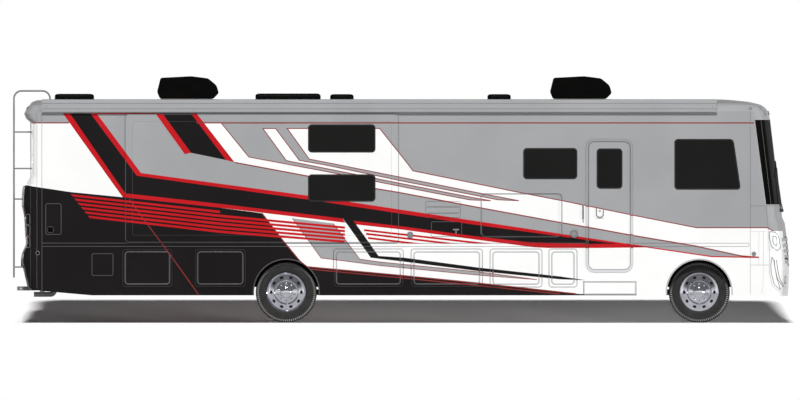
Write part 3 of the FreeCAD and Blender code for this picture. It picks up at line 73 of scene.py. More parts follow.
def hexColour(code):
    # linear = c / 12.92 under 0.04045, else ((c + 0.055) / 1.055) ** 2.4, for each sRGB channel c
    channels = [int(code[i:i + 2], 16) / 255 for i in (0, 2, 4)]
    return [c / 12.92 if c <= 0.04045 else ((c + 0.055) / 1.055) ** 2.4 for c in channels] + [1.0]


def addNode(tree, kind, settings=None, links=None):
    # a node of one kind; settings are its own properties or input values, links are sockets by input
    node = tree.nodes.new(kind)
    for key, value in (settings or {}).items():
        if hasattr(node, str(key)):
            setattr(node, key, value)
        else:
            node.inputs[key].default_value = value
    for key, socket in (links or {}).items():
        tree.links.new(socket, node.inputs[key])
    return node


def startMaterial(name, sockets):
    # a Principled shader with uniform values on its own sockets, and object coordinates in metres
    material = bpy.data.materials.new(name)
    material.use_nodes = True
    tree = material.node_tree
    shader = tree.nodes["Principled BSDF"]
    for key, value in sockets.items():
        shader.inputs[key].default_value = value
    return material, tree, shader, addNode(tree, "ShaderNodeTexCoord").outputs["Object"]


def surface(name, sockets, cloud, rough=None, grain=None, kind="Noise", extra=None, stretch=None):
    # colour = mix(dark, light, noise), roughness = low + (high - low) * noise, height = depth * pattern
    # cloud: mm, dark, light, detail. rough: mm, low, high. grain: mm, detail, strength, depth in mm.
    material, tree, shader, where = startMaterial(name, sockets)
    noise = addNode(tree, "ShaderNodeTexNoise", {"Scale": 1000 / cloud[0], "Detail": cloud[3]},
                    {"Vector": where})
    ramp = addNode(tree, "ShaderNodeValToRGB", None, {"Fac": noise.outputs["Fac"]})
    for stop, at, code in zip(ramp.color_ramp.elements, (0.3, 0.7), cloud[1:3]):
        stop.position = at
        stop.color = hexColour(code)
    tree.links.new(ramp.outputs["Color"], shader.inputs["Base Color"])
    if rough:
        marks = addNode(tree, "ShaderNodeTexNoise", {"Scale": 1000 / rough[0], "Detail": 4},
                        {"Vector": where})
        spread = addNode(tree, "ShaderNodeMapRange", {"To Min": rough[1], "To Max": rough[2]},
                         {"Value": marks.outputs["Fac"]})
        tree.links.new(spread.outputs["Result"], shader.inputs["Roughness"])
    if grain:
        size, detail, strength, depth = grain
        if stretch:
            where = addNode(tree, "ShaderNodeMapping", {"Scale": stretch}, {"Vector": where}).outputs[0]
        settings = {"Scale": 1000 / size, "Detail": detail, **(extra or {})}
        pattern = addNode(tree, f"ShaderNodeTex{kind}", settings, {"Vector": where})
        bump = addNode(tree, "ShaderNodeBump", {"Strength": strength, "Distance": depth / 1000},
                       {"Height": pattern.outputs["Distance" if kind == "Voronoi" else "Fac"]})
        tree.links.new(bump.outputs["Normal"], shader.inputs["Normal"])
    return material


# Materials

def enamel(name, dark, light):
    # Two-pack polyurethane enamel sprayed over moulded fibreglass: an even colour with a soft gloss and a
    # faint orange peel, drawn at 6 mm because the real 2 mm ripple is too fine to show.
    return surface(name, {"IOR": 1.5, "Coat Weight": 0.04, "Coat Roughness": 0.08,
                          "Specular IOR Level": 0.03},
                   (900, dark, light, 2), (400, 0.3, 0.42), (6, 1, 0.12, 0.3))


def tintAndShadeGlass(name, level, gloss):
    # Tempered or laminated glass coloured almost black: partly the tint of the glass and partly painted
    # shade of the dim interior behind it. A smooth face that shows little of the sky.
    return surface(name, {"IOR": 1.52, "Coat Weight": gloss, "Coat Roughness": 0.03,
                          "Specular IOR Level": level},
                   (700, "070706", "0c0b0a", 1), (300, 0.07, 0.12))


def moulded(name, dark, light, grainMm, sheen=0.3):
    # Injection-moulded or vacuum-formed ABS: a pebbled mould grain with a soft sheen.
    return surface(name, {"IOR": 1.54, "Specular IOR Level": sheen}, (200, dark, light, 3),
                   (120, 0.38, 0.55), (grainMm, 0, 0.2, 0.3), "Voronoi")


def chassisSteel(name, dark, light, metallic):
    # Hot-rolled or cast, then dipped in chassis black or zinc: an uneven film with a scaly grain.
    return surface(name, {"Metallic": metallic, "Specular IOR Level": 0.4}, (160, dark, light, 5),
                   (90, 0.45, 0.7), (12, 6, 0.3, 0.5))


def lens(name, dark, light):
    # Moulded acrylic lamp lens: clear gloss skin over fine flutes 12 mm apart.
    return surface(name, {"IOR": 1.49, "Coat Weight": 0.8, "Coat Roughness": 0.04, "Roughness": 0.18},
                   (60, dark, light, 1), None, (12 * 3.1416, 2, 0.35, 1.0), "Wave",
                   {"bands_direction": "Z"})


paint = {
    "grey": enamel("silverGreyEnamel", "9c9d9f", "a2a3a5"),
    "white": enamel("whiteEnamel", "f2f2f1", "f7f7f6"),
    "black": enamel("blackEnamel", "191718", "1d1b1c"),
    "red": enamel("redEnamel", "ba1a20", "c21f26"),
    "maroon": enamel("darkRedEnamel", "82302f", "8f3936"),
}
# near-black panes: their tint plus painted shade of the interior seen through them
glass = tintAndShadeGlass("privacyGlass", 0.14, 0.0)
screenGlass = tintAndShadeGlass("laminatedGlass", 0.0, 0.06)
# Extruded EPDM window and door seal: dead black, matt, with a slight bloom.
rubber = surface("epdmRubber", {"IOR": 1.5, "Specular IOR Level": 0.3}, (40, "141414", "222221", 3),
                 (60, 0.6, 0.8))
# Vulcanised truck tyre rubber: charcoal, matt, with fine mould grain on the sidewall.
tread = surface("tyreRubber", {"IOR": 1.5, "Specular IOR Level": 0.35}, (90, "1b1b1b", "2b2a29", 3),
                (50, 0.62, 0.85), (8, 5, 0.25, 0.8))
# Forged and polished aluminium wheel: bright and near mirror.
alloy = surface("polishedAlloy", {"Metallic": 1.0}, (120, "cccdd6", "e2e3ec", 3), (80, 0.03, 0.07))
# Extruded and anodised aluminium: long soft die lines along the extrusion, drawn at 4 mm.
brightAluminium = surface("anodisedAluminium", {"Metallic": 0.55, "Specular IOR Level": 0.5},
                          (300, "9c9ea0", "aeb0b2", 3), (150, 0.32, 0.45), (1000, 2, 0.2, 0.3),
                          stretch=(0.4, 250.0, 250.0))
railAluminium = enamel("paintedAluminium", "9fa0a2", "a5a6a8")
blackAbs = moulded("blackAbs", "040404", "090807", 5, 0.03)
greyAbs = moulded("greyAbs", "77787a", "85868a", 5)
dashAbs = moulded("dashboardAbs", "2c2b2b", "383636", 4)
# Rubber sipes coloured pale and matt: a painted highlight that stands in for the light catching the shoulder
# lugs.
sipeHighlightRubber = moulded("sipeHighlightRubber", "a5a4a2", "bcbbb9", 6, 0.1)
blackSteel = chassisSteel("chassisBlackSteel", "1c1c1c", "2c2b2a", 0.1)
zincSteel = chassisSteel("zincSteel", "8a8b8c", "9a9b9c", 0.7)
castIron = chassisSteel("castIron", "3a3836", "4a4744", 0.5)
exhaustSteel = chassisSteel("aluminisedSteel", "93918e", "a8a6a2", 0.5)
# Seamless fibreglass roof sheet in a chalky satin grey, its weave drawn at 14 mm to show.
roofing = surface("roofFibreglass", {"IOR": 1.5, "Specular IOR Level": 0.4}, (500, "a2a4a6", "b0b2b3", 3),
                  (250, 0.45, 0.6), (14, 2, 0.15, 0.4))
# Laminated floor and tray boards seen from below: sealed plywood under grey plastic sheet.
plywood = surface("sealedPlywood", {"IOR": 1.5, "Specular IOR Level": 0.3}, (350, "5a5854", "6d6a64", 5),
                  (120, 0.6, 0.8))
# Coated upholstery fabric in stone grey: a fine leather grain, drawn at 5 mm.
vinyl = surface("upholsteryVinyl", {"IOR": 1.5, "Sheen Weight": 0.1}, (80, "6f675c", "82796c", 3),
                (70, 0.45, 0.6), (5, 0, 0.4, 0.4), "Voronoi")
clearLens = lens("clearAcrylic", "eeeff0", "f7f7f8")
smokedLens = lens("smokedAcrylic", "77797b", "8c8e90")
redLens = lens("redAcrylic", "8c1016", "a8161d")
amberLens = lens("amberAcrylic", "c56a10", "d97c1a")
print("materials made")

nodeGroups = [
    (blackSteel, "frame_rails leaf_springs"), (plywood, "floor right_storage_bays left_storage_bays"),
    (paint["grey"], "right_wall left_wall rear_cap front_cap entry_door_frame service_hatches entry_door "
                    "right_slideout left_slideout side_hatch"),
    (paint["black"], "right_skirt left_skirt"), (paint["white"], "entry_step"), (roofing, "roof"),
    (screenGlass, "windshield"), (clearLens, "headlights"), (redLens, "tail_lights"), (dashAbs, "dashboard"),
    (glass, "side_windows entry_door_window right_slideout_windows left_slideout_windows"),
    (blackAbs, "air_conditioners roof_fittings grille wheel_houses"), (railAluminium, "awnings"),
    (greyAbs, "ladder grab_rail"), (zincSteel, "hitch_receiver fuel_tank"), (vinyl, "cab_seats"),
    (castIron, "engine front_axle rear_axle left_knuckle right_knuckle tie_rod"), (exhaustSteel, "exhaust"),
    (alloy, "front_left_rim front_right_rim rear_left_rims rear_right_rims"),
    (tread, "front_left_tyre front_right_tyre rear_left_tyres rear_right_tyres"),
]
nodeMaterial = {name: material for material, names in nodeGroups for name in names.split()}
for name, item in nodes.items():
    if name not in nodeMaterial:
        nodeMaterial[name] = paint["black"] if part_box(name)[1].x < 0.1 else paint["white"]
    item.data.materials.clear()
    item.data.materials.append(nodeMaterial[name])
print("frame pieces finished:", len(nodes))


# Livery, drawn in the units of the side elevation

drawing = {"unit": 0.0155, "centre": 401.0, "ground": 322.75}


def fromDrawing(points):
    # X = (across - centre) * unit, Z = (ground - down) * unit
    p = np.array(points, float)
    return np.stack([(p[:, 0] - drawing["centre"]) * drawing["unit"],
                     (drawing["ground"] - p[:, 1]) * drawing["unit"]], 1)


stripeTop = 113.3       # underside of the awning rail
sweepTop = [(379.7, 128.5), (405, 160.3), (413, 170.8), (520.3, 192.6), (563.8, 201), (632.6, 215.1),
            (696.5, 227.7), (767.3, 227.7), (787, 238.9)]
sweepLow = [(234.7, 162.4), (308.3, 176.2), (375.5, 188.6), (400, 192.6), (478, 207.4), (562, 222.8),
            (600, 229.4), (632.6, 235.4), (695, 245.9), (740.7, 255.8), (758.9, 257.3)]
finOne = [(221.5, 123.4), (248.8, 157), (325, 171.3), (405, 187.3), (470, 199.9), (490.7, 200.7)]
finTwo = [(262.9, 128.5), (286.3, 160.6), (325, 168.3), (405, 184.3), (470, 197), (490.7, 200.7)]
finThree = [(275.6, 128.5), (299.3, 160.3), (325, 164.9), (405, 181.6), (498, 199.8), (518.9, 200.7)]
finFour = [(287.3, 128.5), (309.3, 159.1), (325, 162.1), (405, 178.1), (480, 193.2), (518.9, 200.7)]
bandTop = [(141, 173), (308.5, 195.7), (626, 243.6), (650.3, 247.4)]
bandInner = [(136.8, 175.7), (308.5, 199.6), (470, 224), (561, 236.4), (616.8, 243.9)]
lowTop = [(125.4, 193.4), (220, 203.9), (342.9, 218.6), (353.6, 220.8), (398.9, 226), (470, 235.6),
          (528, 242.3), (590, 243.9)]
lowUnder = [(122.8, 197.2), (220, 207.7), (344.7, 222.7), (353.9, 224.3), (398.9, 229.2), (470, 238.9),
            (534, 247.3), (548, 248), (600, 248), (650.3, 247.4)]
swooshEdge = [(262, 213.2), (284.1, 241.9), (300, 261), (307, 266.7), (405, 275.7), (478, 283),
              (576, 293.7), (600, 295)]
bladeTop = [(353.6, 220.8), (378.5, 255.9), (405, 257.8), (478, 267.5), (560, 276.4), (586, 280.2)]
bladeUnder = [(342.9, 218.4), (370.7, 257.7), (405, 261.8), (478, 271), (560, 279.3), (586, 280.2)]
patchRight = [(333.2, 223.4), (359.7, 259.1), (380, 262), (480, 272), (537, 279.6)]
patchLeft = [(292.4, 218.3), (321.1, 258), (380, 265.6), (480, 275.3), (537, 279.6)]
rearEdge = [(0, 185.1), (25.8, 185.1), (30.9, 186.1), (71, 192.1), (122.8, 197.2)]
bottom, front, back = 335.0, 800.0, 0.0     # well outside the body

# Fills in painting order: colour, outline
fills = [
    ("grey", [(back, 0), (front, 0), (front, bottom), (back, bottom)]),
    ("white", [(back, 123), (69.7, 123), (122.8, 197.2), (122.8, 205), (back, 205)]),
    ("white", [(200, 123.4), (379.7, 123.4)] + sweepTop + [(front, 246.2), (front, 257.5)] + sweepLow[::-1]),
    ("grey", [(221.5, 123.4), (262.9, 123.4)] + finTwo + finOne[:0:-1]),
    ("grey", [(262.9, 123.4), (379.7, 123.4), (379.7, 128.5)] + finFour + finThree[::-1] + [(262.9, 128.5)]),
    ("white", lowUnder + [(711.9, 256.6), (758.9, 257.3), (front, 257.5), (front, bottom), (back, bottom),
                          (back, 197.2)]),
    ("grey", patchRight + patchLeft[::-1]),
    ("black", rearEdge + lowUnder[1:2] + swooshEdge + [(600, bottom), (back, bottom)]),
    ("red", [(62.8, stripeTop), (69.8, stripeTop), (115.8, 180)] + lowTop[:3] + lowUnder[2::-1]
     + [(113.9, 185)]),
    ("red", lowTop[3:] + bandTop[2:] + lowUnder[:2:-1]),
    ("red", [(90.5, stripeTop), (96.6, stripeTop)] + bandTop + bandInner[::-1]),
    ("black", [(69.8, stripeTop), (90.5, stripeTop)] + bandInner + lowTop[::-1] + [(115.8, 180)]),
    ("red", [(155.3, stripeTop), (162.3, stripeTop), (191, 152.8), (184.8, 154.2)]),
    ("red", [(191, stripeTop), (196.5, stripeTop), (234.7, 162.4), (226, 160)]),
    ("black", [(162.3, stripeTop), (191, stripeTop), (226, 160), (191, 152.8)]),
]

# Pinstripes: colour, width, line
pinstripes = [
    ("maroon", 1.0, sweepTop), ("maroon", 1.2, sweepLow), ("maroon", 0.9, finOne), ("maroon", 0.9, finTwo),
    ("maroon", 0.9, [(262.9, 128.5)] + finThree), ("maroon", 0.9, [(379.7, 128.5)] + finFour),
    ("red", 1.2, [(626, 243.8), (650, 247.5), (711.9, 256.6), (758.9, 257.5)]),
    ("maroon", 1.1, swooshEdge[:-1]),
    ("maroon", 0.9, [(311.5, 269.3), (405, 278.2), (478, 285.6), (560, 294)]),
    ("maroon", 0.7, patchLeft), ("maroon", 0.7, patchRight),
    ("maroon", 1.2, [(196.5, 122.9), (754, 122.9)]), ("maroon", 1.2, [(22, 122.9), (69, 122.9)]),
    ("red", 1.2, [(97, 113.6), (155, 113.6)]),
    ("maroon", 0.9, [(129.2, 199.1), (147.7, 224.6), (170.6, 255.3), (198.7, 294.8)]),
]
speedLines = {"count": 6, "width": 2.35, "slant": 2.6, "start": (71.8, 195.3), "startStep": (3.4, 4.3),
              "middle": (220, 211.9), "middleStep": 3.95, "end": (345, 226.6), "endStep": 3.5}
for i in range(speedLines["count"]):
    start = (speedLines["start"][0] + i * speedLines["startStep"][0],
             speedLines["start"][1] + i * speedLines["startStep"][1])
    middle = (speedLines["middle"][0], speedLines["middle"][1] + i * speedLines["middleStep"])
    end = (speedLines["end"][0], speedLines["end"][1] + (i - 0.7) * speedLines["endStep"])
    pinstripes.append(("red", speedLines["width"], [start, middle, end][: 3 if i else 2]))
darts = {"low": 243.7, "half": 1.0, "lines": [((364, 230.1), (478, 243)), ((366, 233.8), (449, 243.5)),
                                              ((368, 238), (415, 243.6))]}


def ribbon(line, width):
    # an outline round a polyline: each point moved half the width both ways along its mitre
    p = np.array(line, float)
    along = np.diff(p, axis=0)
    along /= np.linalg.norm(along, axis=1)[:, None]
    turned = np.stack([-along[:, 1], along[:, 0]], 1)
    before = np.vstack([turned[:1], turned])
    after = np.vstack([turned, turned[-1:]])
    mitre = (before + after) / (1 + (before * after).sum(1))[:, None]
    return np.vstack([p + mitre * width / 2, (p - mitre * width / 2)[::-1]])


regions = [(colour, fromDrawing(outline)) for colour, outline in fills]
for colour, width, line in pinstripes:
    outline = ribbon(line, width)
    if width == speedLines["width"]:
        outline[-1, 0] -= speedLines["slant"] / 2     # the near ends are cut on the slant
        outline[0, 0] += speedLines["slant"] / 2
    regions.append((colour, fromDrawing(outline)))
for (x0, z0), (x1, z1) in darts["lines"]:
    # a dart: two parallel edges cut off along one level line, which draws its end out to a point
    slope = (z1 - z0) / (x1 - x0)
    tips = [(x0 + (darts["low"] - z0 - off) / slope, darts["low"])
            for off in (-darts["half"], darts["half"])]
    regions.append(("red", fromDrawing([(x0, z0 - darts["half"]), tips[0], tips[1],
                                        (x0, z0 + darts["half"])])))
regions.append(("black", fromDrawing(bladeTop + bladeUnder[::-1])))     # the blade covers the speed lines


def inside(points, outline):
    # even-odd rule: a point is inside if a ray from it crosses the outline an odd number of times
    a, b = outline, np.roll(outline, -1, axis=0)
    x, z = points[:, 0:1], points[:, 1:2]
    spans = (a[:, 1] > z) != (b[:, 1] > z)
    rise = np.where(b[:, 1] == a[:, 1], 1e-12, b[:, 1] - a[:, 1])
    crossing = a[:, 0] + (z - a[:, 1]) * (b[:, 0] - a[:, 0]) / rise
    return (spans & (x < crossing)).sum(1) % 2 == 1


film = {"lift": 0.0007, "thick": 0.0005}
capEnds = {"front_cap": 1, "rear_cap": -1}


def outerFaces(mesh, name):
    # outside: a ray from the face, in some direction that leaves the vehicle, meets none of its panel
    low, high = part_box(name)
    reach = max(abs(low.y), abs(high.y))
    if name not in capEnds:
        return [abs(f.normal.y) > 0.9 and f.normal.y * f.calc_center_median().y > 0
                and abs(f.calc_center_median().y) > reach - 0.03 for f in mesh.faces]
    end = capEnds[name]
    ways = [Vector(way).normalized() for way in (
        (end, 0, 0), (0, 1, 0), (0, -1, 0), (0, 0, 1), (end, 1, 0), (end, -1, 0), (end, 0, 1),
        (end, 0, -0.5), (end, 0.5, 0.5), (end, -0.5, 0.5))]
    tree = BVHTree.FromBMesh(mesh)
    chosen = []
    for face in mesh.faces:
        start = face.calc_center_median() + face.normal * 0.002
        chosen.append(any(face.normal.dot(way) > 0.05 and tree.ray_cast(start, way)[0] is None
                          for way in ways))
    return chosen


def cutAlong(mesh, a, b):
    # splits the faces that a segment of a region's outline may cross, by the plane that holds it and Y
    x0, x1 = sorted((a[0], b[0]))
    z0, z1 = sorted((a[1], b[1]))
    near = []
    for face in mesh.faces:
        xs = [v.co.x for v in face.verts]
        zs = [v.co.z for v in face.verts]
        if min(xs) < x1 and max(xs) > x0 and min(zs) < z1 and max(zs) > z0:
            near.append(face)
    if near:
        parts = near + [e for f in near for e in f.edges] + [v for f in near for v in f.verts]
        bmesh.ops.bisect_plane(mesh, geom=list(dict.fromkeys(parts)), dist=1e-6, plane_co=(a[0], 0, a[1]),
                               plane_no=(b[1] - a[1], 0, a[0] - b[0]))


paintFilms = {}


def paintPanel(name, base):
    # colour of a face = that of the last region that holds its middle; points = vertex + lift * normal
    mesh = bmesh.new()
    mesh.from_mesh(nodes[name].data)
    bmesh.ops.remove_doubles(mesh, verts=mesh.verts, dist=1e-5)
    mesh.normal_update()
    keep = outerFaces(mesh, name)
    bmesh.ops.delete(mesh, geom=[f for f, wanted in zip(list(mesh.faces), keep) if not wanted],
                     context="FACES")
    low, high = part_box(name)
    for colour, outline in regions:
        for a, b in zip(outline, np.roll(outline, -1, axis=0)):
            apart = (max(a[0], b[0]) < low.x or min(a[0], b[0]) > high.x
                     or max(a[1], b[1]) < low.z or min(a[1], b[1]) > high.z)
            if not apart:
                cutAlong(mesh, a, b)
    mesh.normal_update()
    middles = np.array([[f.calc_center_median().x, f.calc_center_median().z]
                        for f in mesh.faces]).reshape(-1, 2)
    chosen = np.full(len(middles), base, dtype=object)
    for colour, outline in regions:
        chosen[inside(middles, outline)] = colour
    points = np.array([v.co + v.normal * film["lift"] for v in mesh.verts]).reshape(-1, 3)
    points[:, 0] = np.minimum(points[:, 0], cadBox[1][0] - 1e-6)     # kept inside the frame's box
    mesh.verts.index_update()
    faces = [[v.index for v in f.verts] for f in mesh.faces]
    for colour in sorted(set(chosen) - {base}):
        key = (bodyOf[name], colour)
        store = paintFilms.setdefault(key, {"points": [], "faces": [], "count": 0})
        picked = [f for f, c in zip(faces, chosen) if c == colour]
        used = sorted({i for f in picked for i in f})
        place = {old: store["count"] + new for new, old in enumerate(used)}
        store["points"].append(points[used])
        store["faces"] += [[place[i] for i in f] for f in picked]
        store["count"] += len(used)
    mesh.free()


def addPiece(name, points, faces, material, body):
    # one mesh that rides on a body
    data = bpy.data.meshes.new(name)
    data.from_pydata(np.asarray(points).tolist(), [], faces)
    data.update()
    item = bpy.data.objects.new(name, data)
    bpy.context.scene.collection.objects.link(item)
    data.materials.append(material)
    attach(item, body)
    return item


panelBase = {name: "black" if "skirt" in name else "grey" for name in (
    "right_wall", "left_wall", "right_skirt", "left_skirt", "front_cap", "rear_cap", "entry_door",
    "entry_door_frame", "right_slideout", "left_slideout", "side_hatch", "service_hatches")}
for name in nodes:
    if "bay_door" in name:
        panelBase[name] = "black" if nodeMaterial[name] == paint["black"] else "white"
for name, base in panelBase.items():
    paintPanel(name, base)
for (body, colour), store in paintFilms.items():
    item = addPiece(f"{body}_{colour}_paint", np.vstack(store["points"]), store["faces"], paint[colour],
                    body)
    thick = item.modifiers.new("film", "SOLIDIFY")
    thick.thickness = film["thick"]
    thick.offset = -1
print("livery painted:", len(paintFilms), "films")


# Shapes worked out on grids

wallFace = 1.28     # outer face of the walls and skirts
spacing = 0.02      # between points along a bead


def gridQuads(rows, columns, wrapRows, wrapColumns):
    # quads between neighbouring points of a grid, joined at its ends where it wraps
    i, j = np.meshgrid(np.arange(rows - 1 + wrapRows), np.arange(columns - 1 + wrapColumns), indexing="ij")
    k, m = (i + 1) % rows, (j + 1) % columns
    corners = [i * columns + j, k * columns + j, k * columns + m, i * columns + m]
    return np.stack(corners, 2).reshape(-1, 4).tolist()


def skin(grid, closedPath=False):
    # closed rings [ring, point, 3] joined along a path; an open path gets a face at each end
    rows, columns = grid.shape[:2]
    faces = gridQuads(rows, columns, closedPath, True)
    if not closedPath:
        faces += [list(range(columns)), list(range((rows - 1) * columns, rows * columns))]
    return grid.reshape(-1, 3), faces


def joined(shapes):
    # several shapes as one: each shape's faces count on from the points before it
    starts = np.cumsum([0] + [len(points) for points, group in shapes])
    faces = [[i + start for i in face] for (points, group), start in zip(shapes, starts) for face in group]
    return np.vstack([points for points, group in shapes]), faces


def roundedLoop(box, radius, inset=0.0, steps=6):
    # a rounded rectangle x0, x1, z0, z1: corner centre + r * (cos, sin), a quarter turn at each corner
    x0, x1, z0, z1 = box[0] + inset, box[1] - inset, box[2] + inset, box[3] - inset
    r = max(radius - inset, 0.002)
    turn = np.linspace(0, math.pi / 2, steps)
    corners = [(x1 - r, z1 - r), (x0 + r, z1 - r), (x0 + r, z0 + r), (x1 - r, z0 + r)]
    arcs = [np.stack([cx + r * np.cos(turn + q * math.pi / 2), cz + r * np.sin(turn + q * math.pi / 2)], 1)
            for q, (cx, cz) in enumerate(corners)]
    return np.vstack(arcs)


def refine(line, gap, closed):
    # points evenly spaced along a line, a gap apart or a little less
    p = np.asarray(line, float)
    p = np.vstack([p, p[:1]]) if closed else p
    travelled = np.concatenate([[0], np.cumsum(np.linalg.norm(np.diff(p, axis=0), axis=1))])
    at = np.linspace(0, travelled[-1], max(int(travelled[-1] / gap), 6), endpoint=not closed)
    return np.stack([np.interp(at, travelled, p[:, i]) for i in range(p.shape[1])], 1)


def beadOn(points, normals, width, proud, closed=False, flat=False, sunk=0.003):
    # section across a line on a surface: half an ellipse, or a flat top with bevelled edges, its foot sunk
    p = np.asarray(points, float)
    n = np.asarray(normals, float)
    n = np.broadcast_to(n / np.linalg.norm(n, axis=-1, keepdims=True), p.shape)
    tangent = np.roll(p, -1, 0) - np.roll(p, 1, 0) if closed else np.gradient(p, axis=0)
    across = np.cross(tangent, n)
    across /= np.linalg.norm(across, axis=1)[:, None]
    t = np.linspace(0, math.pi, 5)
    a, o = (np.array([1, 0.86, -0.86, -1]), np.array([0, 1, 1, 0])) if flat else (np.cos(t), np.sin(t))
    a = np.concatenate([a, [-1, 1]]) * width / 2
    o = np.concatenate([o * proud, [-sunk, -sunk]])
    return skin(p[:, None] + across[:, None] * a[None, :, None] + n[:, None] * o[None, :, None], closed)


def onWall(line, side, reach=wallFace):
    # a line of X, Z on the flat side at Y = side * reach
    line = np.asarray(line, float)
    return np.stack([line[:, 0], np.full(len(line), side * reach), line[:, 1]], 1), (0, side, 0)


def pad(box, radius, steps, side, reach):
    # rounded rectangles stacked outwards, each step an inset and a height, closed at both ends
    loops = [onWall(roundedLoop(box, radius, inset), side, reach + out)[0] for inset, out in steps]
    return skin(np.stack(loops))


def turned(profile, centre, axis, sides=48, closed=False):
    # a profile of radius and height turned about an axis: centre + height * a + radius * (u cos t + v sin t)
    a = np.asarray(axis, float) / np.linalg.norm(axis)
    u = np.cross(a, (0, 0, 1) if abs(a[2]) < 0.9 else (1, 0, 0))
    u /= np.linalg.norm(u)
    v = np.cross(a, u)
    t = np.arange(sides) * 2 * math.pi / sides
    ring = u[None] * np.cos(t)[:, None] + v[None] * np.sin(t)[:, None]
    r, h = np.array(profile, float).T
    return skin(np.asarray(centre, float) + a * h[:, None, None] + ring[None] * r[:, None, None], closed)


def tube(path, radius, sides):
    # circles of one radius along a path, square to it: point + radius * (u cos t + w sin t)
    p = np.asarray(path, float)
    tangent = np.gradient(p, axis=0)
    tangent /= np.linalg.norm(tangent, axis=1)[:, None]
    u = np.cross(tangent, np.where(np.abs(tangent[:, 1:2]) < 0.9, (0, 1, 0), (1, 0, 0)))
    u /= np.linalg.norm(u, axis=1)[:, None]
    w = np.cross(tangent, u)
    t = np.arange(sides) * 2 * math.pi / sides
    ring = u[:, None] * np.cos(t)[None, :, None] + w[:, None] * np.sin(t)[None, :, None]
    return skin(p[:, None] + radius * ring)


def treeOf(names):
    # the named frame pieces as one tree for rays
    mesh = bmesh.new()
    for name in names.split():
        mesh.from_mesh(nodes[name].data)
    tree = BVHTree.FromBMesh(mesh)
    mesh.free()
    return tree


noseTree = treeOf("front_cap windshield headlights grille right_wall left_wall right_skirt left_skirt")
tailTree = treeOf("rear_cap tail_lights right_wall left_wall right_skirt left_skirt")


def dropped(tree, starts, way):
    # where rays from points beside the vehicle meet it, with the surface's normal turned towards the start
    way = Vector(way)
    hits = [tree.ray_cast(Vector(start), way)[:2] for start in starts]
    hits = [(place, normal if normal.dot(way) < 0 else -normal) for place, normal in hits if place]
    return (np.array([list(place) for place, normal in hits]),
            np.array([list(normal) for place, normal in hits]))


def onSide(tree, line, side):
    # a line of X, Z dropped on a side along Y
    return dropped(tree, [(x, side * 3.0, z) for x, z in line], (0, -side, 0))


def onEnd(tree, line, end):
    # a line of Y, Z dropped on the nose or tail along X
    return dropped(tree, [(end * 8.0, y, z) for y, z in line], (-end, 0, 0))


# Stores: plain pieces by name, and trims whose tone follows the livery under them: the beads are real, and
# their tone is painted shade, darker than the paint beside it, and painted highlight, lighter over black,
# for the panel edges and gaps
plainPieces = {}
trimPieces = {}
trimTone = {
    "strong": {"grey": enamel("greyTrim", "828486", "8a8c8e"),
               "white": enamel("paleTrim", "b4b5b7", "bcbdbf"),
               "black": enamel("graphiteTrim", "4c4a4b", "565455"),
               "red": enamel("wineTrim", "8e2328", "98292e")},
    "faint": {"grey": enamel("softGreyTrim", "949597", "9a9b9d"),
              "white": enamel("softPaleTrim", "d2d3d5", "d9dadb"),
              "black": enamel("softGraphiteTrim", "393738", "413f40"),
              "red": enamel("softWineTrim", "a8242b", "b0292f")},
}


def addShape(name, body, material, shape):
    # a piece's shapes are gathered by its name and body, and joined at the end
    plainPieces.setdefault((name, body), (material, []))[1].append(shape)


def addTrim(body, tone, shape):
    # trims are gathered by body and tone
    trimPieces.setdefault((body, tone), []).append(shape)


def finishMesh(item):
    # doubles merged, faces turned outwards, edges sharper than 35 degrees kept sharp
    mesh = bmesh.new()
    mesh.from_mesh(item.data)
    bmesh.ops.remove_doubles(mesh, verts=mesh.verts, dist=1e-6)
    bmesh.ops.recalc_face_normals(mesh, faces=mesh.faces)
    mesh.to_mesh(item.data)
    mesh.free()
    item.data.shade_smooth()
    item.data.set_sharp_from_angle(angle=math.radians(35))


def liveryAt(middles):
    # the colour of the last region that holds each point, red for the pinstripes too
    found = np.full(len(middles), "grey", dtype=object)
    for colour, outline in regions:
        found[inside(middles, outline)] = "red" if colour == "maroon" else colour
    return found


# Trims on the sides

edge = {"bayInset": 0.045, "bayWide": 0.022, "bayRim": 0.009, "bayCorner": 0.045, "slideReach": 1.3,
        "slideInset": 0.116, "slideCorner": 0.06, "frameCorner": 0.137, "frameWide": 0.04,
        "hatchCorner": 0.07,
        "hatchShort": 0.04, "stepCorner": 0.012, "glassBorder": 0.022, "fine": 0.009, "thin": 0.003,
        "proud": 0.004}


def boxOf(name):
    # a piece's X and Z limits
    low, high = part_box(name)
    return low.x, high.x, low.z, high.z


def wallTrim(body, tone, line, side, width, proud, reach=wallFace, closed=False, flat=False):
    # a trim along a line of X, Z on the flat side at Y = side * reach
    points, normal = onWall(refine(line, spacing, closed), side, reach)
    addTrim(body, tone, beadOn(points, normal, width, proud, closed, flat))


def ringTrim(body, tone, box, radius, inset, width, side, reach=wallFace, proud=edge["proud"], flat=False):
    # a trim round a rounded rectangle, moved in by the inset
    wallTrim(body, tone, roundedLoop(box, radius, inset), side, width, proud, reach, True, flat)


for name in nodes:
    if "bay_door" in name:
        side = right if name.startswith("right") else left
        ringTrim(name, "strong", boxOf(name), edge["bayCorner"] + edge["bayInset"], edge["bayInset"],
                 edge["bayWide"], side)
        ringTrim(name, "faint", boxOf(name), edge["bayCorner"], 0.006, edge["bayRim"], side,
                 proud=edge["thin"])

for name, side in (("right_slideout", right), ("left_slideout", left)):
    ringTrim(name, "strong", boxOf(name), edge["slideCorner"], 0.007, 0.013, side, edge["slideReach"])
    ringTrim(name, "faint", boxOf(name), edge["slideCorner"], edge["slideInset"], edge["fine"], side,
             edge["slideReach"], 0.002)

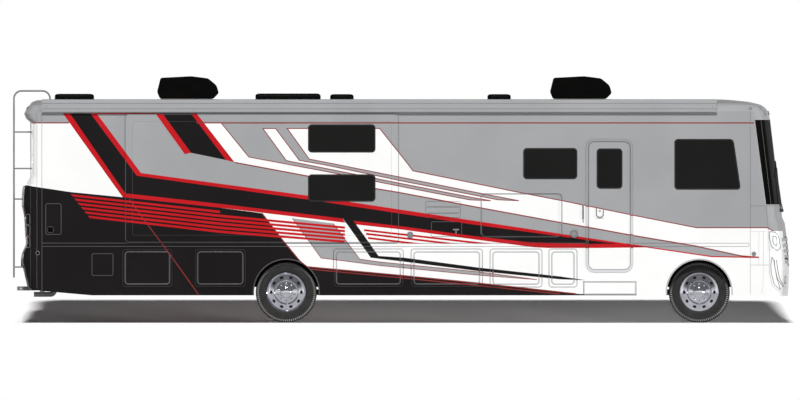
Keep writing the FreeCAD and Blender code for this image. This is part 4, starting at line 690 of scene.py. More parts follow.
hatchBox = boxOf("side_hatch")
innerBox = (hatchBox[0], hatchBox[1] - edge["hatchShort"], hatchBox[2], hatchBox[3])
ringTrim("side_hatch", "strong", hatchBox, edge["hatchCorner"], 0.008, 0.015, right)
ringTrim("side_hatch", "faint", innerBox, edge["hatchCorner"], 0.008, 0.01, right, proud=edge["thin"])
frameBox = boxOf("entry_door_frame")
frameReach = abs(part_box("entry_door_frame")[0].y)
ringTrim(chassis, "faint", frameBox, edge["frameCorner"], 0.0235, edge["frameWide"], right, frameReach,
         edge["thin"], True)
for inset in (0.005, 0.042):
    ringTrim(chassis, "strong", frameBox, edge["frameCorner"], inset, edge["fine"], right, frameReach)
ringTrim("entry_step", "strong", boxOf("entry_step"), edge["stepCorner"], 0.01, 0.014, right,
         proud=edge["thin"])

belt = {"top": 1.2335, "bottom": 1.183, "wide": 0.012, "proud": 0.005, "rear": -5.564, "front": 5.394}
ends = [(belt["front"], belt["bottom"]), (belt["front"], belt["top"])]
for side in (right, left):
    spans = [(belt["rear"], frameBox[0]), (frameBox[1], belt["front"])]
    for start, end in spans if side == right else [(belt["rear"], belt["front"])]:
        for height in (belt["top"], belt["bottom"]):
            wallTrim(chassis, "strong", [(start, height), (end, height)], side, belt["wide"], belt["proud"])
    wallTrim(chassis, "strong", ends, side, belt["wide"], belt["proud"])

# Arch lips: an arc over each wheel with straight sides below it
arch = {"radius": 0.512, "wide": 0.02, "proud": 0.006, "low": 0.43, "spring": 0.517, "axleHeight": 0.4735,
        "centres": (-1.778, 4.623)}
swing = math.asin((arch["spring"] - arch["axleHeight"]) / arch["radius"])
t = np.linspace(swing, math.pi - swing, 60)
for side in (right, left):
    for centre in arch["centres"]:
        over = np.stack([centre + arch["radius"] * np.cos(t),
                         arch["axleHeight"] + arch["radius"] * np.sin(t)], 1)
        line = np.vstack([[over[0, 0], arch["low"]], over, [over[-1, 0], arch["low"]]])
        wallTrim(chassis, "strong", line, side, arch["wide"], arch["proud"])

# Service hatches: a rim line round each, a latch or slats on it
hatches = [
    # x0, x1, z0, z1, corner, side, what is on it
    (-4.796, -4.459, 0.726, 1.076, 0.025, right, "plain"),
    (-5.513, -5.262, 1.363, 1.851, 0.03, right, "latch"),
    (0.465, 0.945, 1.332, 1.571, 0.025, right, "handle"), (0.381, 0.925, 1.625, 1.887, 0.02, right, "slats"),
    (-5.3, -4.9, 1.4, 1.8, 0.025, left, "latch"), (3.3, 3.6, 0.7, 1.0, 0.025, left, "latch"),
    (2.9, 3.4, 1.4, 1.9, 0.025, left, "slats"),
]
plateFace = 1.284
slat = {"pitch": 0.098, "high": 0.02, "inset": 0.024, "first": 0.065, "proud": 0.006}
latch = {"from": 0.035, "to": 0.125, "corner": 0.015, "ring": 0.008,
         "steps": [(0.006, -0.001), (0.006, 0.004), (0.012, 0.007), (0.025, 0.007)]}
handle = {"across": (0.14, 0.045, 0.1, 0.122), "stem": (0.101, 0.084, 0.045, 0.1), "corner": 0.008,
          "steps": [(0, -0.001), (0, 0.008), (0.004, 0.011)]}
for x0, x1, z0, z1, corner, side, fitting in hatches:
    ringTrim(chassis, "strong", (x0, x1, z0, z1), corner, 0.006, 0.013, side, plateFace, edge["thin"])
    if fitting == "latch":
        spot = (x0 + latch["from"], x0 + latch["to"], z0 + latch["from"], z0 + latch["to"])
        ringTrim(chassis, "strong", spot, latch["corner"], 0.0, latch["ring"], side, plateFace)
        addShape("hatch_latches", chassis, blackAbs,
                 pad(spot, latch["corner"], latch["steps"], side, plateFace))
    if fitting == "handle":
        for part in ("across", "stem"):
            a, b, low, high = handle[part]
            addShape("hatch_handle", chassis, greyAbs,
                     pad((x1 - a, x1 - b, z0 + low, z0 + high), handle["corner"], handle["steps"],
                         side, plateFace))
    if fitting == "slats":
        for height in np.arange(z0 + slat["first"], z1 - slat["inset"] - slat["high"], slat["pitch"]):
            middle = height + slat["high"] / 2
            line = [(x0 + slat["inset"], middle), (x1 - slat["inset"], middle)]
            wallTrim(chassis, "strong", line, side, slat["high"], slat["proud"], plateFace)
print("side trims made")


# Window seals: a flat black frame over the edge of each pane

def faceLoops(name, side):
    # outlines of a flat pane's outer face: the edges that belong to one face of it, chained end to end
    mesh = bmesh.new()
    mesh.from_mesh(nodes[name].data)
    bmesh.ops.remove_doubles(mesh, verts=mesh.verts, dist=1e-5)
    mesh.normal_update()
    flat = {f for f in mesh.faces if f.normal.y * side > 0.99}
    ends = {}
    for e in mesh.edges:
        if sum(f in flat for f in e.link_faces) == 1:
            for a, b in ((e.verts[0], e.verts[1]), (e.verts[1], e.verts[0])):
                ends.setdefault(a, []).append(b)
    loops = []
    while ends:
        start = next(iter(ends))
        loop, here = [start], start
        while ends.get(here):
            there = next((v for v in ends[here] if v in ends and v not in loop[-2:]), None)
            ends.pop(here)
            if there is None or there is start:
                break
            loop.append(there)
            here = there
        loops.append(np.array([v.co for v in loop]))
    mesh.free()
    return [loop for loop in loops if len(loop) > 3]


def insetLoop(line, distance):
    # each point moved inwards along the mean of its two sides' normals, lengthened to keep the distance
    step = np.roll(line, -1, 0) - line
    step /= np.linalg.norm(step, axis=1)[:, None]
    turnedIn = np.stack([-step[:, 1], step[:, 0]], 1)
    before = np.roll(turnedIn, 1, 0)
    mitre = (before + turnedIn) / (1 + (before * turnedIn).sum(1))[:, None]
    area = (line[:, 0] * np.roll(line[:, 1], -1) - np.roll(line[:, 0], -1) * line[:, 1]).sum()
    return line + mitre * distance * (1 if area > 0 else -1)


for name in ("side_windows", "right_slideout_windows", "left_slideout_windows", "entry_door_window"):
    for side in (right, left):
        for loop in faceLoops(name, side):
            if loop[:, 1].mean() * side < 1:
                continue
            line = insetLoop(loop[:, [0, 2]], edge["glassBorder"] / 2)
            points, normal = onWall(line, side, abs(loop[0, 1]))
            addShape(f"{name}_seal", bodyOf[name], rubber,
                     beadOn(points, normal, edge["glassBorder"], edge["thin"], True, True))
print("window seals made")


# Caps: seams, marker lamps, wipers, grille and lamps

def capBead(tree, line, side, width, proud, gap=0.02, closed=False):
    # a bead along a line of the drawing, dropped on a cap from one side
    points, normals = onSide(tree, refine(fromDrawing(line), gap, closed), side)
    return beadOn(points, normals, width, proud, closed)


capSeams = [
    # tree, tone, width, line in the drawing's units
    (tailTree, "strong", 0.012, [(41.9, 113), (41.9, 294)]),
    (tailTree, "strong", 0.009, [(36.9, 113), (36.9, 290)]),
    (tailTree, "faint", 0.012, [(30.5, 122), (30.5, 288)]),
    (noseTree, "strong", 0.009, [(750.5, 112), (750.5, 294)]),
    (noseTree, "faint", 0.012, [(763.5, 232), (763.5, 265)]),
    (noseTree, "faint", 0.01, [(759, 232), (759, 265)]),
    (noseTree, "strong", 0.009, [(750.5, 205.8), (783, 205.8)]),
    (noseTree, "faint", 0.009, [(750.5, 231.5), (766, 231.5)]),
    (noseTree, "strong", 0.009, [(750.5, 265), (769, 265)]),
    (noseTree, "strong", 0.009, [(766, 205.8), (768.5, 231), (769.6, 255.3), (769.3, 272.8), (772.6, 286),
                                 (780, 292)]),
    (noseTree, "faint", 0.009, [(764, 265), (762.5, 293)]),
]
for tree, tone, width, line in capSeams:
    for side in (right, left):
        addTrim(chassis, tone, capBead(tree, line, side, width, edge["proud"], 0.025))

# Pale trim line round the tail at the top of the lamps
tailTrim = {"half": 1.15, "down": 195.3, "wide": 0.016, "proud": 0.006}
across = np.linspace(-tailTrim["half"], tailTrim["half"], 90)
height = (drawing["ground"] - tailTrim["down"]) * drawing["unit"]
points, normals = onEnd(tailTree, [(y, height) for y in across], -1)
addShape("tail_trim", chassis, brightAluminium, beadOn(points, normals, tailTrim["wide"], tailTrim["proud"]))

bezels = {
    "head": [(769.5, 231.5), (776.5, 232.5), (779, 238.8), (780.4, 247.4), (777.4, 250.9), (771.5, 246.5),
             (769.5, 238)],
    "headInner": [(773.2, 236), (776.5, 237), (777.6, 243), (775.6, 246.3), (772.8, 242)],
    "fog": [(771.8, 257), (770.8, 266), (771.3, 273), (774.4, 285), (780.6, 289.8), (777, 279),
            (775.1, 268.5),
            (773.8, 260)],
}
for side in (right, left):
    for name, line in bezels.items():
        addShape(f"{name}_bezel", chassis, greyAbs, capBead(noseTree, line, side, 0.011, 0.007, closed=True))
    for shift in (0.0, 2.2):
        curve = [(774.2 + shift, 260), (775.3 + shift, 269), (777.4 + shift, 278.8),
                 (783 + shift / 2, 286.9)]
        addShape("bumper_lines", chassis, blackSteel, capBead(noseTree, curve, side, 0.01, 0.006))

louvre = {"count": 5, "top": 1.292, "pitch": 0.088, "high": 0.05, "proud": 0.011, "half": 1.04,
          "taper": 0.03,
          "sunk": 0.003}
for i in range(louvre["count"]):
    height = louvre["top"] - i * louvre["pitch"]
    reach = louvre["half"] - louvre["taper"] * i
    points, normals = onEnd(noseTree, [(y, height) for y in np.linspace(-reach, reach, 120)], 1)
    # the bar spans the nose's hollows: X = the greater of the nose and its running mean over 9 points
    smooth = np.convolve(np.pad(points[:, 0], 4, mode="edge"), np.ones(9) / 9, "valid")
    points[:, 0] = np.maximum(smooth, points[:, 0])
    normals = np.stack([np.full(len(points), 1.0), -np.gradient(points[:, 0], points[:, 1]),
                        np.zeros(len(points))], 1)
    points[:, 0] = np.minimum(points[:, 0], cadBox[1][0] - louvre["proud"] - louvre["sunk"])
    addShape("grille_bars", chassis, brightAluminium,
             beadOn(points, normals, louvre["high"], louvre["proud"], False, True))
    if i < louvre["count"] - 1:
        gap = points - np.array([0, 0, louvre["pitch"] / 2])
        addShape("grille_gaps", chassis, rubber,
                 beadOn(gap, normals, louvre["pitch"] - louvre["high"] + 0.004, 0.003, False, True))


def lampShape(centre, axis, radius, proud):
    # a low dome on a ring: radius falls to the middle as height rises like a quarter ellipse
    t = np.linspace(0, math.pi / 2 - 0.02, 7)
    dome = [(radius * 0.94 * math.cos(a), proud * (0.35 + 0.65 * math.sin(a))) for a in t]
    return turned([(radius, -0.006)] + dome, centre, axis, 28)


def rimShape(centre, axis, radius, proud, wide):
    # a ring of round section about the lamp: radius + wide * cos t, proud / 2 + wide * sin t
    t = np.arange(10) * 2 * math.pi / 10
    profile = [(radius + wide * math.cos(a), proud / 2 + wide * math.sin(a)) for a in t]
    return turned(profile, centre, axis, 36, True)


def lampOn(name, tree, place, way, radius, proud, lensMaterial):
    # a lens and its ring where a ray meets the cap: way is 1 or -1 for a side and 2 or -2 for an end
    finder = onEnd if abs(way) == 2 else onSide
    points, normals = finder(tree, [place], way / abs(way))
    rim = rimShape(points[0], normals[0], radius, proud, min(0.006, radius / 6))
    addShape(f"{name}_lens", chassis, lensMaterial, lampShape(points[0], normals[0], radius, proud))
    addShape(f"{name}_rim", chassis, greyAbs, rim)


for y in (-0.9, -0.3, 0.0, 0.3, 0.9):
    lampOn("brow_marker", noseTree, (y, 3.25), 2, 0.03, 0.014, amberLens)
    lampOn("rear_marker", tailTree, (y, 3.33), -2, 0.025, 0.01, redLens)
for side in (right, left):
    for place, radius, lensMaterial in (((5.417, 3.322), 0.022, smokedLens),
                                        ((5.565, 3.33), 0.02, smokedLens),
                                        ((5.47, 1.069), 0.03, clearLens)):
        lampOn("nose_side_marker", noseTree, place, side, radius, 0.01, lensMaterial)
    lampOn("tail_side_marker", tailTree, (-5.632, 1.079), side, 0.028, 0.008, blackAbs)
    for height, lensMaterial in ((1.70, redLens), (1.545, redLens), (1.39, amberLens), (1.235, clearLens)):
        lampOn(f"tail_lamp_{int(height * 1000)}", tailTree, (side * 1.095, height), -2, 0.062, 0.016,
               lensMaterial)
    lampOn("tail_reflector", tailTree, (side * 1.0, 0.72), -2, 0.04, 0.008, redLens)
    lampOn("fog_lamp", noseTree, (side * 0.93, 0.66), 2, 0.062, 0.014, clearLens)

# Links of moulding beside the tail lamps: rounded loops, one above the other
link = {"x0": -5.812, "x1": -5.752, "low": 1.165, "high": 0.165, "gap": 0.012, "count": 3, "radius": 0.026,
        "wide": 0.009, "proud": 0.004}
for i in range(link["count"]):
    z0 = link["low"] + i * (link["high"] + link["gap"])
    loop = refine(roundedLoop((link["x0"], link["x1"], z0, z0 + link["high"]), link["radius"]), 0.015, True)
    for side in (right, left):
        points, normals = onSide(tailTree, loop, side)
        addShape("tail_links", chassis, greyAbs, beadOn(points, normals, link["wide"], link["proud"], True))
print("lamps made")

# Wall lights beside the door: a domed smoked lens in a grey ring
porch = {"face": 1.298, "lights": ((0.143, 1.365, 0.045), (2.686, 1.376, 0.062))}
for x, z, radius in porch["lights"]:
    addShape("porch_light_lens", chassis, smokedLens,
             lampShape((x, -porch["face"] + 0.004, z), (0, right, 0), radius * 0.8, 0.014))
    addShape("porch_light_rim", chassis, greyAbs,
             rimShape((x, -porch["face"] + 0.003, z), (0, right, 0), radius * 0.88, 0.008, 0.009))

# Entry door's pull and lock on its block
pull = {"x0": 3.03, "x1": 3.136, "z0": 1.635, "z1": 1.775, "face": 1.292, "corner": 0.03, "lockZ": 1.735}
hoop = [(pull["x0"], pull["z1"]), (pull["x0"], pull["z0"] + pull["corner"]),
        (pull["x0"] + pull["corner"], pull["z0"]), (pull["x1"] - pull["corner"], pull["z0"]),
        (pull["x1"], pull["z0"] + pull["corner"]), (pull["x1"], pull["z1"])]
addShape("door_pull", "entry_door", greyAbs,
         beadOn(*onWall(refine(hoop, 0.01, False), right, pull["face"]), 0.018, 0.012))
addShape("door_lock", "entry_door", brightAluminium,
         lampShape(((pull["x0"] + pull["x1"]) / 2, -pull["face"], pull["lockZ"]), (0, right, 0), 0.018,
                   0.008))

# Grab rail's grip: rings along it
grip = {"rings": 12, "end": 0.025, "in": 0.011,
        "profile": [(0.009, -0.006), (0.0115, -0.004), (0.0115, 0.004), (0.009, 0.006)]}
low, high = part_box("grab_rail")
for height in np.linspace(low.z + grip["end"], high.z - grip["end"], grip["rings"]):
    addShape("grab_rail_rings", chassis, rubber,
             turned(grip["profile"], ((low.x + high.x) / 2, low.y + grip["in"], height), (0, 0, 1), 16))

# Wipers: an arm from the pivot up the glass, with a blade across its end
wiper = {"z": 1.741, "pivots": (-0.62, 0.16), "reach": 0.66, "lean": 0.34, "from": (-0.1, 0.53),
         "to": (0.78, 0.76),
         "lift": 0.018, "pivot": [(0.026, -0.01), (0.026, 0.02), (0.018, 0.032), (0.002, 0.034)]}
for y0 in wiper["pivots"]:
    arm = refine([(y0, wiper["z"]), (y0 + wiper["lean"], wiper["z"] + wiper["reach"])], 0.05, False)
    blade = refine([(y0 + y, wiper["z"] + z) for y, z in (wiper["from"], wiper["to"])], 0.05, False)
    points, normals = onEnd(noseTree, arm, 1)
    addShape("wiper_arms", chassis, blackSteel, tube(points + normals * wiper["lift"], 0.009, 8))
    points, normals = onEnd(noseTree, blade, 1)
    addShape("wiper_blades", chassis, rubber, beadOn(points + normals * 0.002, normals, 0.02, 0.014))
    points, normals = onEnd(noseTree, [(y0, wiper["z"])], 1)
    addShape("wiper_pivots", chassis, blackSteel, turned(wiper["pivot"], points[0], normals[0], 20))

# Plate holder on the tail, with nothing on it
plate = {"half": 0.16, "low": 0.86, "high": 1.02, "corner": 0.02, "steps": (0.03, -0.008, -0.012)}
points, normals = onEnd(tailTree, [(0, (plate["low"] + plate["high"]) / 2)], -1)
loop = roundedLoop((-plate["half"], plate["half"], plate["low"], plate["high"]), plate["corner"])
stack = [np.column_stack([np.full(len(loop), points[0, 0] + out), loop]) for out in plate["steps"]]
addShape("plate_holder", chassis, blackAbs, skin(np.stack(stack)))
print("cap details made")


# Wheels: turned discs with ten oval hand holes, and tyres with grooves and shoulder sipes

wheel = {"axle": 0.4735, "tyre": 0.4735, "lip": 0.302, "sectors": 10, "sectorSteps": 6,
         "holeBand": (0.207, 0.262), "holeAt": 0.2345, "holeHalf": (0.028, 0.0215), "thick": 0.007}
# Height of the front face over radius, counted from the top of the hub cap
faceOuter = [(0.302, -0.066), (0.297, -0.062), (0.291, -0.068), (0.262, -0.066)]
faceInner = [(0.207, -0.049), (0.192, -0.044), (0.189, -0.034), (0.183, -0.029), (0.177, -0.034),
             (0.174, -0.052), (0.15, -0.045), (0.12, -0.035), (0.094, -0.027), (0.09, -0.02),
             (0.084, -0.016),
             (0.068, -0.008), (0.045, -0.0028), (0.02, -0.0006), (0.001, 0.0)]


def ringStrip(profile, segments, phase=0.0):
    # open rings (r, h) -> (r cos t, h, r sin t), with no end faces
    r, h = np.array(profile, float).T
    t = np.arange(segments) * 2 * math.pi / segments + phase
    grid = np.stack([r[:, None] * np.cos(t), np.broadcast_to(h[:, None], (len(r), segments)),
                     r[:, None] * np.sin(t)], 2)
    return grid.reshape(-1, 3), gridQuads(len(r), segments, False, True)


def holedBand(hub, rim):
    # per sector: its outline blends into an ellipse, on the front face, then the hole's wall, then the back;
    # height = rim + (hub - rim) * (high - r) / (high - low)
    n, m = wheel["sectors"], wheel["sectorSteps"]
    half = math.pi / n
    low, high = wheel["holeBand"]
    up = np.linspace(0, 1, m + 1)[:-1]
    outline = np.vstack([np.stack([-half + 2 * half * up, np.full(m, low)], 1),
                         np.stack([np.full(m, half), low + (high - low) * up], 1),
                         np.stack([half - 2 * half * up, np.full(m, high)], 1),
                         np.stack([np.full(m, -half), high - (high - low) * up], 1)])
    angle = np.arctan2((outline[:, 1] - wheel["holeAt"]) / wheel["holeHalf"][1],
                       outline[:, 0] * wheel["holeAt"] / wheel["holeHalf"][0])
    oval = np.stack([wheel["holeHalf"][0] * np.cos(angle) / wheel["holeAt"],
                     wheel["holeAt"] + wheel["holeHalf"][1] * np.sin(angle)], 1)
    between = (outline + oval) / 2
    layers = [(flat, 0) for flat in (outline, between, oval)]
    layers += [(flat, wheel["thick"]) for flat in (oval, between, outline)]
    points = []
    for k in range(n):
        for flat, drop in layers:
            t, r = flat[:, 0] + k * 2 * half, flat[:, 1]
            height = rim + (hub - rim) * (high - r) / (high - low) - drop
            points.append(np.stack([r * np.cos(t), height, r * np.sin(t)], 1))
    size = len(layers) * 4 * m
    faces = [[i + k * size for i in face]
             for k in range(n) for face in gridQuads(len(layers), 4 * m, False, True)]
    return np.vstack(points), faces


def wheelShape(back, lipTo):
    # the disc and hub cap in one piece with the barrel, heights from the top of the hub cap, axis along Y
    low, high = wheel["holeBand"]
    hub, rim = faceInner[0][1], faceOuter[-1][1]
    drop, lip = wheel["thick"], wheel["lip"]
    segments = wheel["sectors"] * wheel["sectorSteps"]
    phase = -math.pi / wheel["sectors"]
    barrel = [(0.3, lipTo), (lip, lipTo - 0.003), (lip, lipTo - 0.012), (0.29, lipTo - 0.02),
              (0.276, lipTo - 0.045), (0.276, back + 0.045), (0.29, back + 0.02), (lip, back + 0.012),
              (lip, back),
              (0.295, back), (0.269, back + 0.05), (0.269, rim - 0.03), (high, rim - drop)]
    front = [(high, rim)] + faceOuter[::-1][1:3] + [(0.294, min(lipTo - 0.004, -0.062))]
    inside = [(low, hub - drop), (0.12, -0.06), (0.001, -0.06)]
    strips = [ringStrip(profile, segments, phase) for profile in (front + barrel, faceInner, inside)]
    return joined([holedBand(hub, rim)] + strips)


def placed(shape, x, side, top):
    # turned so that height runs outwards from the hub cap's top at |Y| = top
    points, faces = shape
    return np.stack([points[:, 0] + x, side * (top + points[:, 1]), points[:, 2] + wheel["axle"]], 1), faces


tyre = {"wide": 0.235, "segments": 96, "groove": 0.008, "bars": 86, "barRadius": (0.42, 0.447),
        "barWide": 0.011}


def tyreProfile():
    # radius and height round the section: beads, rounded sidewalls with two rings, and a tread with four
    # grooves
    w = tyre["wide"] / 2
    side = [(0.302, w - 0.026), (0.312, w - 0.012), (0.33, w - 0.004), (0.337, w - 0.004), (0.34, w - 0.001),
            (0.344, w - 0.001), (0.347, w - 0.003), (0.375, w), (0.4, w - 0.001), (0.415, w - 0.004),
            (0.42, w - 0.0035), (0.425, w - 0.006), (0.448, w - 0.014), (0.462, w - 0.022),
            (0.47, w - 0.032)]
    top = wheel["tyre"]
    half = side + [(top, w - 0.042)]
    for at in (0.052, 0.018):
        half += [(top, at + 0.005), (top - tyre["groove"], at + 0.003), (top - tyre["groove"], at - 0.003),
                 (top, at - 0.005)]
    return half + [(r, -h) for r, h in half[::-1]]


def tyreShape():
    # the section turned about the axle, joined at its beads by a short inner band
    profile, n = tyreProfile(), tyre["segments"]
    points, faces = ringStrip(profile, n)
    last = (len(profile) - 1) * n
    return points, faces + [[j, (j + 1) % n, last + (j + 1) % n, last + j] for j in range(n)]


def shoulderBars():
    # small raised sipes that lie on the shoulder: one box, turned about the axle in equal steps
    w = tyre["wide"] / 2
    low, high = tyre["barRadius"]
    half = tyre["barWide"] / 2
    corner = [(low, w - 0.0075, -half), (low, w - 0.0075, half), (high, w - 0.0165, half),
              (high, w - 0.0165, -half)]
    r, h, s = np.array(corner + [(r + 0.007, h + 0.003, s * 0.8) for r, h, s in corner]).T
    turn = (np.arange(tyre["bars"]) * 2 * math.pi / tyre["bars"])[:, None]
    points = np.stack([r * np.cos(turn) - s * np.sin(turn), np.broadcast_to(h, (tyre["bars"], 8)),
                       r * np.sin(turn) + s * np.cos(turn)], 2).reshape(-1, 3)
    sides = [(0, 1, 2, 3), (4, 5, 6, 7), (0, 1, 5, 4), (1, 2, 6, 5), (2, 3, 7, 6), (3, 0, 4, 7)]
    return points, [[i + 8 * k for i in face] for k in range(tyre["bars"]) for face in sides]


hubs = {"front": {"x": 4.623, "top": 1.15, "tyres": [0.9995], "back": -0.253, "lip": -0.06, "many": ""},
        "rear": {"x": -1.778, "top": 1.181, "tyres": [1.0765, 0.8095], "back": -0.2, "lip": -0.018,
                 "many": "s"}}
lugs = {"count": 10, "radius": 0.133, "sink": 0.042,
        "profile": [(0.0155, -0.006), (0.0155, 0.012), (0.01085, 0.0144), (0.01023, 0.0216),
                    (0.00465, 0.024)]}
drum = {"sink": 0.095,
        "profile": [(0.03, -0.06), (0.262, -0.06), (0.264, -0.02), (0.258, -0.004), (0.2, 0.0), (0.03, 0.0)]}
innerBarrel = [(0.302, -0.095), (0.302, -0.085), (0.276, -0.05), (0.276, 0.05), (0.302, 0.085),
               (0.302, 0.095),
               (0.295, 0.095), (0.268, 0.05), (0.268, -0.05), (0.295, -0.095)]
swaps = []
for end, spec in hubs.items():
    for word, side in (("right", right), ("left", left)):
        body = f"{end}_{word}_wheel{spec['many']}"
        axis = (0, side, 0)
        addShape(f"{end}_{word}_disc", body, alloy,
                 placed(wheelShape(spec["back"], spec["lip"]), spec["x"], side, spec["top"]))
        for k in range(lugs["count"]):
            t = (k + 0.5) * 2 * math.pi / lugs["count"]
            centre = (spec["x"] + lugs["radius"] * math.cos(t), side * (spec["top"] - lugs["sink"]),
                      wheel["axle"] + lugs["radius"] * math.sin(t))
            addShape(f"{end}_{word}_lugs", body, alloy, turned(lugs["profile"], centre, axis, 6))
        centre = (spec["x"], side * (spec["top"] - drum["sink"]), wheel["axle"])
        addShape(f"{end}_{word}_drum", body, blackSteel, turned(drum["profile"], centre, axis, 60))
        if end == "rear":
            centre = (spec["x"], side * spec["tyres"][1], wheel["axle"])
            addShape(f"{end}_{word}_disc", body, alloy, turned(innerBarrel, centre, axis, 60, True))
        for middle in spec["tyres"]:
            addShape(f"{end}_{word}_tread", body, tread, placed(tyreShape(), spec["x"], side, middle))
        # the sipes' pale colour is a painted highlight of the lit shoulder lugs
        addShape(f"{end}_{word}_sipes", body, sipeHighlightRubber,
                 placed(shoulderBars(), spec["x"], side, spec["tyres"][0]))
        swaps += [(f"{end}_{word}_disc", f"{end}_{word}_rim{spec['many']}"),
                  (f"{end}_{word}_tread", f"{end}_{word}_tyre{spec['many']}")]
print("wheels made")


# Awning rails: a grooved extrusion with rounded end caps

awning = {"y0": 1.281, "y1": 1.34, "low": 3.262, "high": 3.458, "grooves": (3.315, 3.398), "deep": 0.006,
          "half": 0.004, "soft": 0.01, "slack": 0.001, "cap": 0.14, "lineZ": (3.292, 3.402), "screwZ": 3.347}
railLow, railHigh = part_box("awnings")


def awningSection():
    # Y, Z round the section: a flat outer face with two grooves, its corners rounded
    y0, y1 = awning["y0"], awning["y1"] - awning["slack"]
    z0, z1 = awning["low"], awning["high"] - awning["slack"]
    r = awning["soft"]
    turn = np.linspace(0, math.pi / 2, 5)
    points = [(y0, z0), (y1 - r, z0)] + [(y1 - r + r * math.sin(a),
                                          z0 + r - r * math.cos(a)) for a in turn[1:]]
    for z in awning["grooves"]:
        points += [(y1, z - awning["half"]), (y1 - awning["deep"], z - awning["half"] * 0.6),
                   (y1 - awning["deep"], z + awning["half"] * 0.6), (y1, z + awning["half"])]
    points += [(y1 - r + r * math.cos(a), z1 - r + r * math.sin(a)) for a in turn] + [(y0, z1)]
    return np.array(points)


section = awningSection()
for side in (right, left):
    stations = [railLow.x + awning["slack"], railHigh.x - awning["slack"]]
    grid = [np.stack([np.full(len(section), x), side * section[:, 0], section[:, 1]], 1) for x in stations]
    addShape("awning_rails", chassis, railAluminium, skin(np.array(grid)))
    for x0, x1 in ((railLow.x, railLow.x + awning["cap"]), (railHigh.x - awning["cap"], railHigh.x)):
        loop = roundedLoop((x0 + 0.004, x1 - 0.004, *awning["lineZ"]), 0.03)
        points, normal = onWall(refine(loop, 0.02, True), side, awning["y1"] - 0.0045)
        addShape("awning_end_lines", chassis, greyAbs, beadOn(points, normal, 0.008, 0.0035, True))
        centre = ((x0 + x1) / 2, side * (awning["y1"] - 0.004), awning["screwZ"])
        addShape("awning_screws", chassis, blackSteel, lampShape(centre, (0, side, 0), 0.011, 0.0035))
swaps.append(("awning_rails", "awnings"))

# Roof vents and hatches: low domed hoods in place of the plain blocks
hood = [(0.0, 0.0), (0.0, 0.55), (0.006, 0.75), (0.02, 0.9), (0.045, 0.98),
        (0.08, 1.0)]    # inset, share of height


def islandBoxes(name):
    # limits of each separate solid of a frame piece: from each vertex not yet seen, all that edges join to
    # it
    mesh = bmesh.new()
    mesh.from_mesh(nodes[name].data)
    bmesh.ops.remove_doubles(mesh, verts=mesh.verts, dist=1e-5)
    seen = set()
    boxes = []
    for start in mesh.verts:
        group, waiting = [], [start]
        while waiting:
            vert = waiting.pop()
            if vert not in seen:
                seen.add(vert)
                group.append(list(vert.co))
                waiting += [e.other_vert(vert) for e in vert.link_edges]
        if group:
            boxes.append((np.min(group, 0), np.max(group, 0)))
    mesh.free()
    return boxes


for low, high in islandBoxes("roof_fittings"):
    across = min(high[0] - low[0], high[1] - low[1])
    stack = []
    for inset, share in hood:
        loop = roundedLoop((low[0], high[0], low[1], high[1]), min(0.06, across / 4), min(inset, across / 3))
        stack.append(np.column_stack([loop, np.full(len(loop), low[2] + (high[2] - low[2]) * share)]))
    addShape("roof_hoods", chassis, blackAbs, skin(np.stack(stack)))
swaps.append(("roof_hoods", "roof_fittings"))

# Air conditioners: louvres along both flanks
cooler = {"spans": ((-3.777, -2.93), (2.41, 3.261)), "ends": (0.2, 0.22), "low": 3.53, "pitch": 0.042,
          "high": 0.015, "count": 5, "corner": 0.007, "face": 0.372,
          "steps": [(0, -0.02), (0, 0.004), (0.003, 0.006)]}
for x0, x1 in cooler["spans"]:
    for side in (right, left):
        for k in range(cooler["count"]):
            z0 = cooler["low"] + k * cooler["pitch"]
            box = (x0 + cooler["ends"][0], x1 - cooler["ends"][1], z0, z0 + cooler["high"])
            addShape("air_conditioner_louvres", chassis, rubber,
                     pad(box, cooler["corner"], cooler["steps"], side, cooler["face"]))
print("rails and roof gear made")


# Everything in the stores becomes pieces

made = {}
for (name, body), (material, shapes) in plainPieces.items():
    points, faces = joined(shapes)
    label = name if body == chassis or body.split("_")[0] in name else f"{name}_{body}"
    made[name] = addPiece(label, points, faces, material, body)
    finishMesh(made[name])
for (body, tone), shapes in trimPieces.items():
    points, faces = joined(shapes)
    item = addPiece(f"{body}_{tone}_trim", points, faces, trimTone[tone]["grey"], body)
    order = list(trimTone[tone])
    for colour in order[1:]:
        item.data.materials.append(trimTone[tone][colour])
    middles = np.array([points[face][:, [0, 2]].mean(0) for face in faces])
    # each face's trim tone from the livery under it: a painted shade line over grey, white and red, a
    # painted highlight line over black
    shade = liveryAt(middles)
    item.data.polygons.foreach_set("material_index", np.array([order.index(c) for c in shade], np.int32))
    finishMesh(item)
for name, node in swaps:
    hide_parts(node)
print("detail pieces:", len(made) + len(trimPieces))


# Camera, light and floor

view = {"across": 12.4, "centreX": -0.0155, "centreZ": 1.9026, "distance": 40.0}
camera = bpy.data.cameras.new("camera")
camera.type = "ORTHO"
camera.ortho_scale = view["across"]
camera.clip_end = 200
cameraItem = bpy.data.objects.new("camera", camera)
cameraItem.location = (view["centreX"], -view["distance"], view["centreZ"])
cameraItem.rotation_euler = (math.pi / 2, 0, 0)
bpy.context.scene.collection.objects.link(cameraItem)
bpy.context.scene.camera = cameraItem

lights = {
    # direction the light comes from, irradiance, apparent size in degrees
    "key": {"from": (-0.05, -1.0, 0.95), "strength": 3.0, "size": 5},
    "fill": {"from": (0.9, -1.0, 0.0), "strength": 0.6, "size": 8},
    "back": {"from": (-0.7, 1.0, 0.02), "strength": 1.7, "size": 14},
    "nose": {"from": (1.0, -0.1, 0.02), "strength": 1.5, "size": 14},
}
for name, spec in lights.items():
    lamp = bpy.data.lights.new(name, "SUN")
    lamp.energy = spec["strength"]
    lamp.angle = math.radians(spec["size"])
    item = bpy.data.objects.new(name, lamp)
    item.rotation_euler = Vector(spec["from"]).to_track_quat("Z", "Y").to_euler()
    bpy.context.scene.collection.objects.link(item)

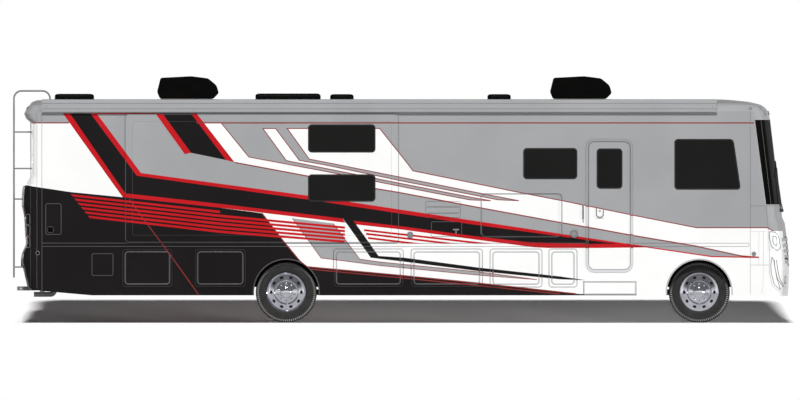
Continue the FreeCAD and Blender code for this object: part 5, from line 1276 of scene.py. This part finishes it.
world = bpy.data.worlds.new("studio")
bpy.context.scene.world = world
world.use_nodes = True
sky = world.node_tree
backdrop = {"light": 0.02, "seen": 1.0, "overhead": 0.16}
rays = addNode(sky, "ShaderNodeLightPath")
direction = addNode(sky, "ShaderNodeTexCoord")
upward = addNode(sky, "ShaderNodeSeparateXYZ", None, {"Vector": direction.outputs["Generated"]})
# strength in metal and glass = 1 at the horizon, falling to a dark ceiling 13 degrees above it
ceiling = addNode(sky, "ShaderNodeMapRange", {"From Min": 0.04, "From Max": 0.22, "To Min": backdrop["seen"],
                                             "To Max": backdrop["overhead"]}, {"Value": upward.outputs["Z"]})
shiny = addNode(sky, "ShaderNodeMath", {"operation": "MAXIMUM"},
                {0: rays.outputs["Is Glossy Ray"], 1: rays.outputs["Is Transmission Ray"]})
reflected = addNode(sky, "ShaderNodeMapRange", {"To Min": backdrop["light"]},
                    {"Value": shiny.outputs["Value"], "To Max": ceiling.outputs["Result"]})
strength = addNode(sky, "ShaderNodeMapRange", {"To Max": backdrop["seen"]},
                   {"Value": rays.outputs["Is Camera Ray"], "To Min": reflected.outputs["Result"]})
sky.links.new(strength.outputs["Result"], sky.nodes["Background"].inputs["Strength"])
sky.nodes["Background"].inputs["Color"].default_value = (1, 1, 1, 1)

ground = {"half": 60.0, "riseStart": 1.4, "riseEnd": 5.0, "rise": 0.37, "pale": 0.7, "seen": 1.44}


def groundGrid():
    # height = rise * smoothstep((y - start) / (end - start)): flat under the wheels, a low sweep behind
    y = np.concatenate([[-ground["half"], ground["riseStart"]],
                        np.linspace(ground["riseStart"], ground["riseEnd"], 40)[1:], [ground["half"]]])
    t = np.clip((y - ground["riseStart"]) / (ground["riseEnd"] - ground["riseStart"]), 0, 1)
    z = ground["rise"] * t * t * (3 - 2 * t)
    x = np.array([-ground["half"], ground["half"]])
    return np.stack(np.broadcast_arrays(x[:, None], y[None, :], z[None, :]), 2)


grid = groundGrid()
rows, columns = grid.shape[:2]
floorData = bpy.data.meshes.new("floor_sheet")
floorData.from_pydata(grid.reshape(-1, 3).tolist(), [],
                      [(i, i + columns, i + columns + 1, i + 1) for i in range(columns - 1)])
floorData.update()
floorItem = bpy.data.objects.new("floor_sheet", floorData)
bpy.context.scene.collection.objects.link(floorItem)
# Pale matt studio paper. It shows white to the camera where the light falls, and keeps the shadow.
floorMaterial, floorTree, floorShader = startMaterial(
    "studioPaper", {"Roughness": 0.9, "Specular IOR Level": 0.0})[:3]
floorRays = addNode(floorTree, "ShaderNodeLightPath")
floorTone = addNode(floorTree, "ShaderNodeMapRange", {"To Min": ground["pale"], "To Max": ground["seen"]},
                    {"Value": floorRays.outputs["Is Camera Ray"]})
floorTree.links.new(floorTone.outputs["Result"], floorShader.inputs["Base Color"])
floorData.materials.append(floorMaterial)

bpy.context.scene.view_settings.view_transform = "Standard"
